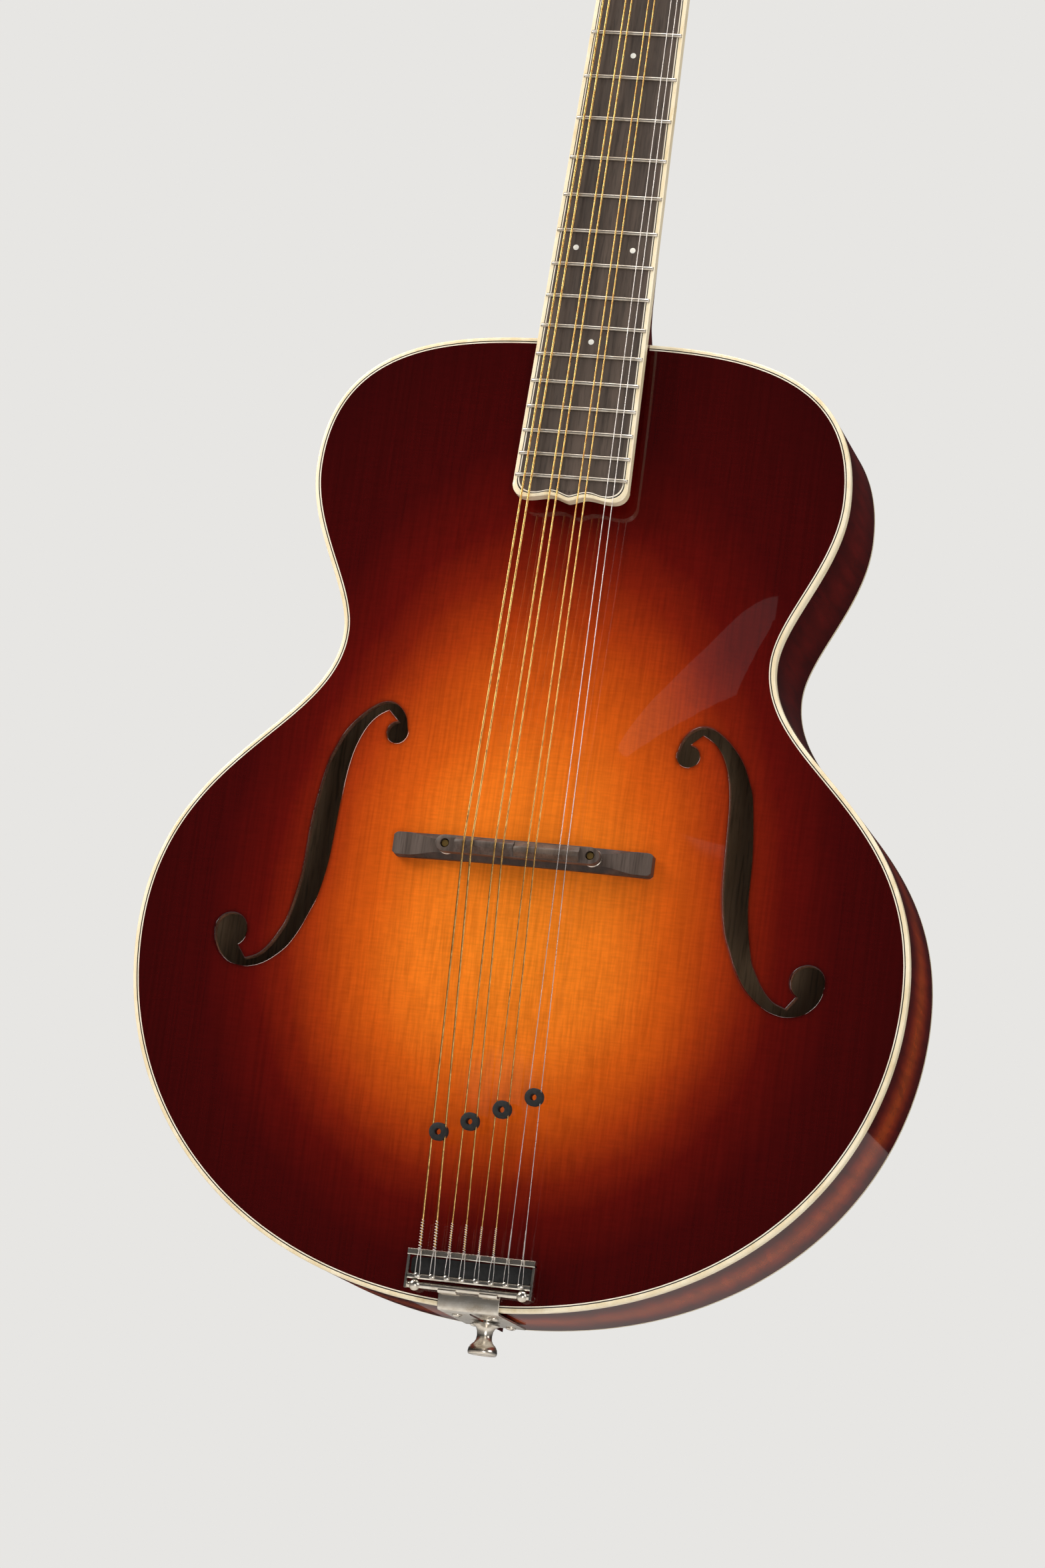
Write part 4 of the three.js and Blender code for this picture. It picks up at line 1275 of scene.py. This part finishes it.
finishPiece(softEdges(saddlePiece()), "saddle", "ebony", finishes["bridge"], "saddle")
finishPiece(saddleCrest("crestBass", -32.5, -1.6, 0.55, 31.0), "saddle", "ebony", finishes["bridge"])
# the treble half of the crest is coloured lighter than the bass half
finishPiece(saddleCrest("crestTreble", -1.3, 32.5, -0.35, 31.25), "saddle", "ebony", finishes["crest"])

for side, label in ((-1, "bass"), (1, "treble")):
    x, y = side * bridge["postAt"], bridge["line"]
    screw = standUp(threadAlongX(0, 12.5, 0, 0, 1.72, 2.0, 0.7, sides=20, steps=6), x, y, 14)
    post = turnOut(addPiece(f"post{label.capitalize()}", *screw, smooth=50))
    finishPiece(post, "instrument", "brass", finishes["brass"], f"bridge_post_{label}")
    rings = []
    ridges = bridge["wheelRidges"]
    for i in range(ridges * 4):
        turn = math.tau * i / (ridges * 4)
        r = bridge["wheelRadius"] - (0, 0.12, 0.3, 0.12)[i % 4]
        section = [(2.15, 19.15), (r - 0.45, 19.15), (r, 19.5), (r, 20.85), (r - 0.45, 21.2), (2.15, 21.2)]
        rings.append([(x + q * math.cos(turn), y + q * math.sin(turn), z) for q, z in section])
    wheel = turnOut(addPiece(f"wheel{label.capitalize()}", *loft(rings, wrap=True), smooth=30))
    finishPiece(wheel, f"thumbwheel_{label}", "nickel", finishes["nickel"], f"thumbwheel_{label}")
print("bridge fitted")


tailpiece = {
    "half": 33.1,
    "topBar": (-835.7, -832.5, 4.2, 8.3),
    "lowerBar": (-847.6, -845, 4.2, 7.4),
    "railWidth": 1.2,
    "hinge": (-850.5, 5.2, 1.6),
    "knobAt": 28,
    "knobRadius": 3.0,
    "padHalf": 31.5,
    "strapHalf": 16,
    "strap": [(-852.7, 2), (-856, 1.9), (-859.2, 1.5), (-860.6, 0.9), (-861.1, -0.6), (-861.1, -62)],
    "pinHeight": -40.75,
}


def tailpieceFrame():
    y0, y1, z0, z1 = tailpiece["topBar"]
    half = tailpiece["half"]
    spots = [(s["tail"], 0.75, z1 - 0.5) for s in map(stringSpots, range(8))]
    rings = []
    for x in notchStations(-half, half, spots, 4.0):
        top = notched(x, z1, spots, 0.15)
        rings.append([(x, y0, z0), (x, y1, z0), (x, y1, top - 0.35), (x, y1 - 0.35, top),
                      (x, y0 + 0.35, top),
                      (x, y0, top - 0.35)])
    bar = loft(rings)
    y0, y1, z0, z1 = tailpiece["lowerBar"]
    lower = loft([[(x, y0, z0), (x, y1, z0), (x, y1, z1 - 0.6), (x, y1 - 0.6, z1), (x, y0 + 0.6, z1),
                   (x, y0, z1 - 0.6)]
                  for x in (-half + 0.6, half - 0.6)])
    rails = [brick(*sorted((side * half, side * (half - tailpiece["railWidth"]))), -852.4, -834.6, 4.2,
                   7.4)
             for side in (-1, 1)]
    y, z, r = tailpiece["hinge"]
    k, at = tailpiece["knobRadius"], tailpiece["knobAt"]
    ball = [(k * math.sin(t), k * math.cos(t)) for t in np.linspace(0.62, math.pi - 0.62, 13)]
    profile = [(0.9, -half + 0.3), (r, -half + 0.9)] + [(q, -at - h) for q, h in ball] + [(r, -at + 2.6)]
    profile += [(r, at - 2.6)] + [(q, at - h) for q, h in ball] + [(r, half - 0.9), (0.9, half - 0.3)]
    return [("tailFrame", gather(bar, lower, *rails), 0.22),
            ("tailHinge", turnedAlongX(profile, 0, y, z, 26), None)]


for name, shape, bevel in tailpieceFrame():
    part = turnOut(addPiece(name, *shape, smooth=40, bevel=bevel))
    finishPiece(part, "instrument", "nickel", finishes["nickel"],
                *(["tailpiece_frame"] if name == "tailFrame" else []))


padRound = 2.2
padLine = roundedBox(-tailpiece["padHalf"] + padRound, tailpiece["padHalf"] - padRound,
                     -844.7 + padRound, -836 - padRound, padRound, 7)
pad = turnOut(addPiece("tailPad", *slab(padLine, 3.4, 4.6), smooth=30, bevel=0.4))
finishPiece(pad, "instrument", "rubber", finishes["rubber"], "tailpiece_pad")


def hooks():
    parts = []
    for s in map(stringSpots, range(8)):
        parts.append(turned([(0.8, 6.6), (0.8, 8.3), (1.15, 8.55), (1.15, 8.85), (0.8, 9.05)], s["tail"],
                            -845.9, 0, 16))
    return turnOut(addPiece("stringHooks", *gather(*parts), smooth=40))


finishPiece(hooks(), "instrument", "nickel", finishes["nickel"])


def tailBracket():
    # a strap bent over the edge, with a knuckle round the hinge bar
    outer = np.array(tailpiece["strap"], float)
    y, z, r = tailpiece["hinge"]
    outerCurve = [(y + (r + 1.25) * math.cos(math.radians(a)), z + (r + 1.25) * math.sin(math.radians(a)))
                  for a in range(-60, -250, -15)]
    innerCurve = [(y + (r + 0.1) * math.cos(math.radians(a)), z + (r + 0.1) * math.sin(math.radians(a)))
                  for a in range(-60, -250, -15)]
    strapInner = [(-859.85, -62), (-859.85, -0.2), (-859.3, 0.25), (-856, 0.62), (-851.6, 0.72)]
    section = outer.tolist() + strapInner
    strapRings = [[(x, sy, sz) for sy, sz in section] for x in (-tailpiece["strapHalf"],
                                                                tailpiece["strapHalf"])]
    parts = [loft(strapRings)]
    for low, high in ((-15.6, -6), (6, 15.6)):
        knuckle = outerCurve + innerCurve[::-1]
        parts.append(loft([[(x, ky, kz) for ky, kz in knuckle] for x in (low, high)]))
        parts.append(loft([[(x, -852.6, 1.0), (x, -850.6, 1.0), (x, -850.6, 2.6),
                            (x, -853.4, 2.9)] for x in (low, high)]))
    strap = turnOut(addPiece("tailBracket", *gather(*parts), smooth=None))
    bore = turned([(4.4, -20), (4.4, 20)], 0, 0)
    hole = addPiece("pinBore", [(px, body["tail"] + pz, tailpiece["pinHeight"] + py) for px, py,
                                pz in bore[0]], bore[1],
                    smooth=None)
    return softEdges(carve(strap, [hole]), 30)


bracketPiece = tailBracket()
roundEdges(bracketPiece, 0.3, 2, 40)
finishPiece(bracketPiece, "instrument", "nickel", finishes["nickel"], "tail_bracket")


def towardsTail(x, y, z):
    # a piece drawn upright at the middle of the strap lies along the body and points out of the tail
    return bench(x, -861.1 - z, y)


screwSet("bracketScrews", [(-9.5, -16, 0), (9.5, -16, 0), (-9.5, -56, 0), (9.5, -56, 0)], 2.7, 1.3,
         towardsTail,
         "instrument")
pinProfile = [(3.9, -17), (3.9, 2.0), (6.6, 2.05), (7.2, 2.35), (7.2, 3.2), (6.7, 3.6), (5.0, 4.5),
              (4.2, 6.2),
              (3.9, 8.6), (4.1, 10.6), (4.9, 12.2), (6.4, 13.6), (7.3, 15.2), (7.6, 16.8), (7.45, 17.9),
              (7.0, 18.4),
              (5.6, 18.5), (5.1, 18.1), (0.4, 18.0)]
pin = turned(pinProfile, 0, 0, 0, 44)
endPin = addPiece("endPin", [(px, body["tail"] - pz, tailpiece["pinHeight"] + py) for px, py,
                             pz in pin[0]], pin[1],
                  smooth=45)
finishPiece(turnOut(endPin), "instrument", "nickel", finishes["nickel"], "end_pin")
print("tailpiece hung")


def benchSpot(place, x, y, z):
    spot = place(x, y, z) * 1000
    return (spot.x, spot.z, -spot.y)


def gearOutline(x, y):
    # trapezoid teeth with a gap facing the worm
    tooth = math.tau / tuner["teeth"]
    line = []
    for i in range(tuner["teeth"]):
        middle = math.pi / 2 + (i + 0.5) * tooth
        for share, radius in ((-0.36, 3.9), (-0.25, 4.15), (-0.13, 4.95), (-0.06, 5.0), (0.06, 5.0),
                              (0.13, 4.95),
                              (0.25, 4.15), (0.36, 3.9)):
            line.append((x + radius * math.cos(middle + share * tooth),
                         y + radius * math.sin(middle + share * tooth)))
    return line


def tunerPost(x, y):
    profile = [(2.6, -20.0), (2.95, -19.6), (2.95, -16), (2.95, 2.6), (3.0, 3.4), (2.85, 4.0), (2.85, 8.6),
               (3.0, 9.2), (3.0, 10.8), (2.7, 11.3), (2.2, 11.5)]
    return gather(turned(profile, x, y, 0, 30), slab(gearOutline(x, y), headBack - 5, headBack - 2))


def wormAndShaft(side, x, y):
    shaftY, level, reach = y + tuner["wormAway"], tuner["wormLevel"], 46
    inner, outer = side * (abs(x) - 8.5), side * reach
    low, high = min(inner, outer), max(inner, outer)
    plain = turnedAlongX([(1.1, low), (1.45, low + 0.35), (1.45, high - 0.1), (1.45, high)], 0, shaftY,
                         level, 20)
    worm = threadAlongX(x - 5.9, x + 5.9, shaftY, level, 1.7, 2.65,
                        math.tau * tuner["gearRadius"] / tuner["teeth"],
                        crestAt=x, sides=28, steps=16)
    collar = turnedAlongX([(1.9, 0), (2.3, 0.3), (2.3, 2.1), (1.9, 2.4)], side * 33.2 - 1.2, shaftY, level,
                          24)
    ferrule = turnedAlongX([(1.5, -1.6), (2.5, -1.2), (2.9, 0.4), (3.1, 1.6), (2.9, 2.2), (2.6, 2.4)], 0,
                           shaftY, level,
                           24)
    ferrule = ([(side * (44.0 + px), py, pz) for px, py, pz in ferrule[0]], ferrule[1])
    return gather(plain, worm, collar, ferrule)


def buttonKnob(side, y):
    # a flat rounded button, a little waisted where the shaft enters
    shaftY, level = y + tuner["wormAway"], tuner["wormLevel"]
    rings = []
    for turn in np.linspace(0.06, math.pi - 0.06, 24):
        reach = -math.cos(turn)
        swell = math.sin(turn) ** 0.72
        wide = 8.5 * swell * (1 - 0.12 * max(0.0, -reach))
        thick = 4.2 * swell * (0.8 + 0.2 * math.cos(turn * 2) ** 2)
        ring = []
        for k in range(32):
            t = math.tau * k / 32
            c, s = math.cos(t), math.sin(t)
            ring.append((side * (53 + 8 * reach), shaftY + wide * math.copysign(abs(c) ** 0.85, c),
                         level + thick * math.copysign(abs(s) ** 0.85, s)))
        rings.append(ring)
    return loft(rings)


for side, number, x, y in tunerPlaces:
    label = f"{'bass' if side < 0 else 'treble'}_{number}"
    postPiece = turnOut(addPiece(f"tunerPost_{label}", *tunerPost(x, y), place=headPlace, smooth=40))
    roundEdges(postPiece, 0.12, 1, 50)
    finishPiece(postPiece, f"post_{label}", "brass", finishes["brass"], f"tuner_post_{label}")
    shaft = turnOut(addPiece(f"tunerShaft_{label}", *wormAndShaft(side, x, y), place=headPlace, smooth=45))
    finishPiece(shaft, f"button_{label}", "nickel", finishes["nickel"], f"tuner_button_{label}")
    knob = turnOut(addPiece(f"tunerKnob_{label}", *buttonKnob(side, y), place=headPlace, smooth=60))
    finishPiece(knob, f"button_{label}", "nickel", finishes["nickel"])
    screwSet(f"gearScrew_{label}", [(x, y, headBack - 5)], 1.9, 0.9, headPlace, f"post_{label}", flip=-1)


def tunerPlate(side):
    x, level = side * tuner["fromMiddle"], headBack - 0.3
    first, last = tuner["first"], tuner["first"] + 3 * tuner["pitch"]
    parts = []
    line = roundedBox(x - 8.4, x + 8.4, first - 10.4, last + 14.4, 1.6, 6)
    strip = turnOut(addPiece(f"tunerPlate{'Bass' if side < 0 else 'Treble'}",
                             *slab(line, level - 1.2, level),
                             place=headPlace, smooth=None))
    for place in tunerPlaces:
        if place[0] != side:
            continue
        for offset in (-7, 7):
            mid = place[2] + side * offset
            shaftY = place[3] + tuner["wormAway"]
            ear = [(shaftY - 3.0, level - 1.1), (shaftY - 3.0, tuner["wormLevel"])]
            ear += [(shaftY + 3.0 * math.cos(t), tuner["wormLevel"] + 3.0 * math.sin(t))
                    for t in np.linspace(math.pi * 1.08, math.pi * 1.92, 9)]
            ear += [(shaftY + 3.0, tuner["wormLevel"]), (shaftY + 3.0, level - 1.1)]
            parts.append(loft([[(mid + h, ey, ez) for ey, ez in ear] for h in (-0.7, 0.7)]))
    ears = turnOut(addPiece("ears", *gather(*parts), place=headPlace, smooth=None))
    holesFor = []
    for place in tunerPlaces:
        if place[0] == side:
            holesFor.append(turned([(3.7, level - 3), (3.7, level + 3)], place[2], place[3]))
    carve(strip, [addPiece("plateBores", *gather(*holesFor), place=headPlace, smooth=None)])
    shaftHoles = [turnedAlongX([(1.7, x - 15), (1.7, x + 15)], 0, place[3] + tuner["wormAway"],
                               tuner["wormLevel"])
                  for place in tunerPlaces if place[0] == side]
    carve(ears, [addPiece("shaftBores", *gather(*shaftHoles), place=headPlace, smooth=None)])
    return strip, ears


for side, label in ((-1, "bass"), (1, "treble")):
    strip, ears = tunerPlate(side)
    for piece, nodes in ((strip, [f"tuner_plate_{label}"]), (ears, [])):
        softEdges(piece, 35)
        roundEdges(piece, 0.2, 2, 45)
        finishPiece(piece, "instrument", "nickel", finishes["nickel"], *nodes)
    ears.name = f"tunerEars{label.capitalize()}"
    level = headBack - 1.5
    spots = [(side * tuner["fromMiddle"], tuner["first"] + tuner["pitch"] * i - 8.4,
              level) for i in range(4)]
    spots.append((side * tuner["fromMiddle"], tuner["first"] + tuner["pitch"] * 3 + 13.4, level))
    screwSet(f"plateScrews{label.capitalize()}", spots, 1.6, 0.8, headPlace, "instrument", flip=-1)
print("tuners geared")


def runAlong(path):
    steps = np.linalg.norm(np.diff(np.array(path, float), axis=0), axis=1)
    return np.concatenate([[0], np.cumsum(steps)])


def stringPiece(name, path, radius, rider, finish, slotName, sides=12, node=None):
    piece = turnOut(addPiece(name, *roundWire(path, radius, sides), smooth=60))
    setPointValues(piece, "run", np.repeat(runAlong(path), sides))
    return finishPiece(piece, rider, slotName, finish, *([node] if node else []))


def windingPath(side, tunerNumber, radius):
    # round the post from the inner side, each turn under the last
    x, y = side * tuner["fromMiddle"], tuner["first"] + tuner["pitch"] * (tunerNumber - 1)
    path = []
    turns = strings["windings"]
    count = int(turns * 28)
    for i in range(count + 1):
        share = i / count
        turn = (0 if side < 0 else math.pi) - side * math.tau * turns * share
        reach = 3.02 + radius + 0.25 * max(0.0, 1 - share * turns * 4)
        path.append(benchSpot(headPlace, x + reach * math.cos(turn), y + reach * math.sin(turn),
                              6 - 2.12 * radius * turns * share))
    return path


for number in range(8):
    s = stringSpots(number)
    radius, tail = s["radius"], s["tail"]
    wound = number < 6
    finish, slotName = (finishes["bronze"], "bronze_wound") if wound else (finishes["steel"], "steel")
    tailLine, tailHeight = strings["tailLine"], strings["tailHeight"]
    bar = Vector((tail, tailLine, tailHeight))
    saddleSpot = Vector((s["saddle"], bridge["line"], strings["saddleHeight"]))
    onNut = benchSpot(neckPlace, s["nut"], 0.5, 1.6 + radius)
    offNut = benchSpot(neckPlace, s["nut"], 4, 1.5 + radius)
    atPost = windingPath(s["side"], s["tuner"], radius)
    path = [tuple(bar + (saddleSpot - bar) * (3 / 208))]
    path += [tuple(bar + (saddleSpot - bar) * share) for share in (0.25, 0.5, 0.75, 0.985)]
    path += [tuple(saddleSpot)]
    onward = Vector(onNut) - saddleSpot
    path += [tuple(saddleSpot + onward * share) for share in (0.005, 0.2, 0.4, 0.6, 0.8, 0.99)]
    path += [onNut, offNut, atPost[0]]
    stringPiece(f"string{number + 1}", path, radius, "instrument", finish, slotName,
                node=f"string_{number + 1}")
    label = f"{'bass' if s['side'] < 0 else 'treble'}_{s['tuner']}"
    stringPiece(f"stringWinding_{label}", atPost, radius, f"post_{label}", finish, slotName)
    # the loop round its hook and the twist above it
    core = max(0.17, radius * 0.5)
    direction = (saddleSpot - bar).normalized()
    twist = []
    for i in range(91):
        run = strings["twist"] * i / 90
        turn = math.tau * run / (core * 5.2)
        wide = (radius + core * 0.9) * min(1.0, (strings["twist"] - run) / 3 + 0.55)
        spot = bar + direction * (1.2 + run)
        twist.append((spot.x + wide * math.cos(turn), spot.y, spot.z + wide * math.sin(turn)))
    loop = [(tail + 0.25, -832.6, tailHeight + 0.1), (tail + 0.75, -835.6, tailHeight - 0.05),
            (tail + 1.05, -840, 8.3),
            (tail + 1.12, -845, 8.0)]
    turns = np.linspace(0, math.pi, 9)
    loop += [(tail + 1.12 * math.cos(t), -845.9 - 1.12 * math.sin(t), 7.95) for t in turns]
    loop += [(tail - 1.12, -845, 8.0), (tail - 1.05, -840, 8.3), (tail - 0.75, -835.6, tailHeight - 0.05),
             (tail - 0.25, -832.6, tailHeight + 0.1)]
    ends = turnOut(addPiece(f"stringEnd{number + 1}", *gather(roundWire(twist, core * 0.9, 8),
                                                           roundWire(loop, core, 8)), smooth=60))
    finishPiece(ends, "instrument", "steel", finishes["steel"])

grommets = {
    "lines": (-773.6, -767, -759.5, -751.8),
    "section": [(1.6, -2.4), (1.85, -2.7), (4.2, -2.7), (4.58, -2.4), (4.65, -1.8), (4.5, -1.2),
                (4.0, -0.95),
                (2.6, -0.85), (2.4, -0.6), (2.4, 0.6), (2.6, 0.85), (4.0, 0.95), (4.5, 1.2), (4.65, 1.8),
                (4.58, 2.4),
                (4.2, 2.7), (1.85, 2.7), (1.6, 2.4)],
}
for course, y in enumerate(grommets["lines"]):
    share = (y - strings["tailLine"]) / (bridge["line"] - strings["tailLine"])
    z = strings["tailHeight"] + (strings["saddleHeight"] - strings["tailHeight"]) * share
    tailX = (course - 1.5) * 2 * strings["atTail"]
    x = tailX + (strings["atSaddle"][course] - tailX) * share
    slope = math.atan2(strings["saddleHeight"] - strings["tailHeight"],
                       bridge["line"] - strings["tailLine"])
    rings = []
    for i in range(36):
        turn = math.tau * i / 36
        ring = []
        for r, h in grommets["section"]:
            u, v = r * math.cos(turn), r * math.sin(turn)
            ring.append((x + u, y + v * math.cos(slope) - h * math.sin(slope),
                         z + v * math.sin(slope) + h * math.cos(slope)))
        rings.append(ring)
    ringed = turnOut(addPiece(f"grommet{course + 1}", *loft(rings, wrap=True), smooth=50))
    finishPiece(ringed, f"grommet_{course + 1}", "rubber", finishes["rubber"], f"grommet_{course + 1}")
print("strings on")


camera = {
    "spot": (0.63393, -2.51439, -1.09610),
    "right": (0.96650, 0.22048, 0.13141),
    "up": (-0.08266, -0.21734, 0.97259),
    "lens": 118.42,
}
lights = {
    # where it stands from the body's middle (a direction), how far, its size and strength, and its tint
    "key": ((-0.85, -0.45, 0.62), 2.2, 1.3, 50, (255, 248, 238)),
    "front": ((0.42, -0.88, -0.28), 2.9, 0.8, 17, (255, 250, 244)),
    "fill": ((0.95, -0.25, 0.3), 2.6, 1.4, 22, (255, 252, 248)),
    "sheen": ((0.16, -0.97, 0.16), 3.2, 0.7, 0.5, (255, 246, 244)),
    "top": ((0.1, -0.15, 1.0), 2.0, 1.2, 30, (255, 250, 246)),
    "behind": ((-0.5, 0.9, 0.5), 2.6, 1.4, 22, (255, 252, 248)),
}
lightAim = Vector((0, 0, -0.6))

lens = bpy.data.cameras.new("camera")
lens.lens = camera["lens"]
lens.sensor_width = 36
lens.clip_start = 0.05
viewer = bpy.data.objects.new("camera", lens)
right, up = Vector(camera["right"]), Vector(camera["up"])
back = right.cross(up)
viewer.matrix_world = Matrix.Translation(camera["spot"]) @ Matrix((right, up, back)).transposed().to_4x4()
bpy.context.scene.collection.objects.link(viewer)
bpy.context.scene.camera = viewer

for name, (direction, away, size, strength, shade) in lights.items():
    lamp = bpy.data.lights.new(name, "AREA")
    lamp.shape = "SQUARE"
    lamp.size = size
    lamp.energy = strength
    lamp.color = tint(*shade)[:3]
    stand = bpy.data.objects.new(name, lamp)
    direction = Vector(direction).normalized()
    stand.location = lightAim + direction * away
    stand.rotation_euler = direction.to_track_quat("Z", "Y").to_euler()
    bpy.context.scene.collection.objects.link(stand)

floorFinish = newFinish("pale floor", tint(236, 234, 230), Roughness=0.8)
floor = addPiece("floor", *loft([[(x, level, z) for x,
                                  z in arcPoints(0, 0, 40000, 0, 354, 60)] for level in (-2100, -2000)]),
                 smooth=None)
floor.data.materials.append(floorFinish)

surroundings = bpy.data.worlds.new("pale room")
bpy.context.scene.world = surroundings
surroundings.use_nodes = True
roomNodes = surroundings.node_tree
background = roomNodes.nodes["Background"]
path = roomNodes.nodes.new("ShaderNodeLightPath")
roomTones = {
    "reflected": (0.035, 0.033, 0.033, 1),
    "light": (0.38, 0.37, 0.365, 1),
    "seen": (0.80, 0.79, 0.77, 1),
}
lit = roomNodes.nodes.new("ShaderNodeMix")
shade = roomNodes.nodes.new("ShaderNodeMix")
lit.data_type = shade.data_type = "RGBA"
lit.inputs[6].default_value = roomTones["reflected"]
lit.inputs[7].default_value = roomTones["light"]
shade.inputs[7].default_value = roomTones["seen"]
roomNodes.links.new(path.outputs["Is Diffuse Ray"], lit.inputs[0])
roomNodes.links.new(lit.outputs[2], shade.inputs[6])
roomNodes.links.new(path.outputs["Is Camera Ray"], shade.inputs[0])
roomNodes.links.new(shade.outputs[2], background.inputs["Color"])
bpy.context.scene.view_settings.view_transform = "Standard"

print("ready")
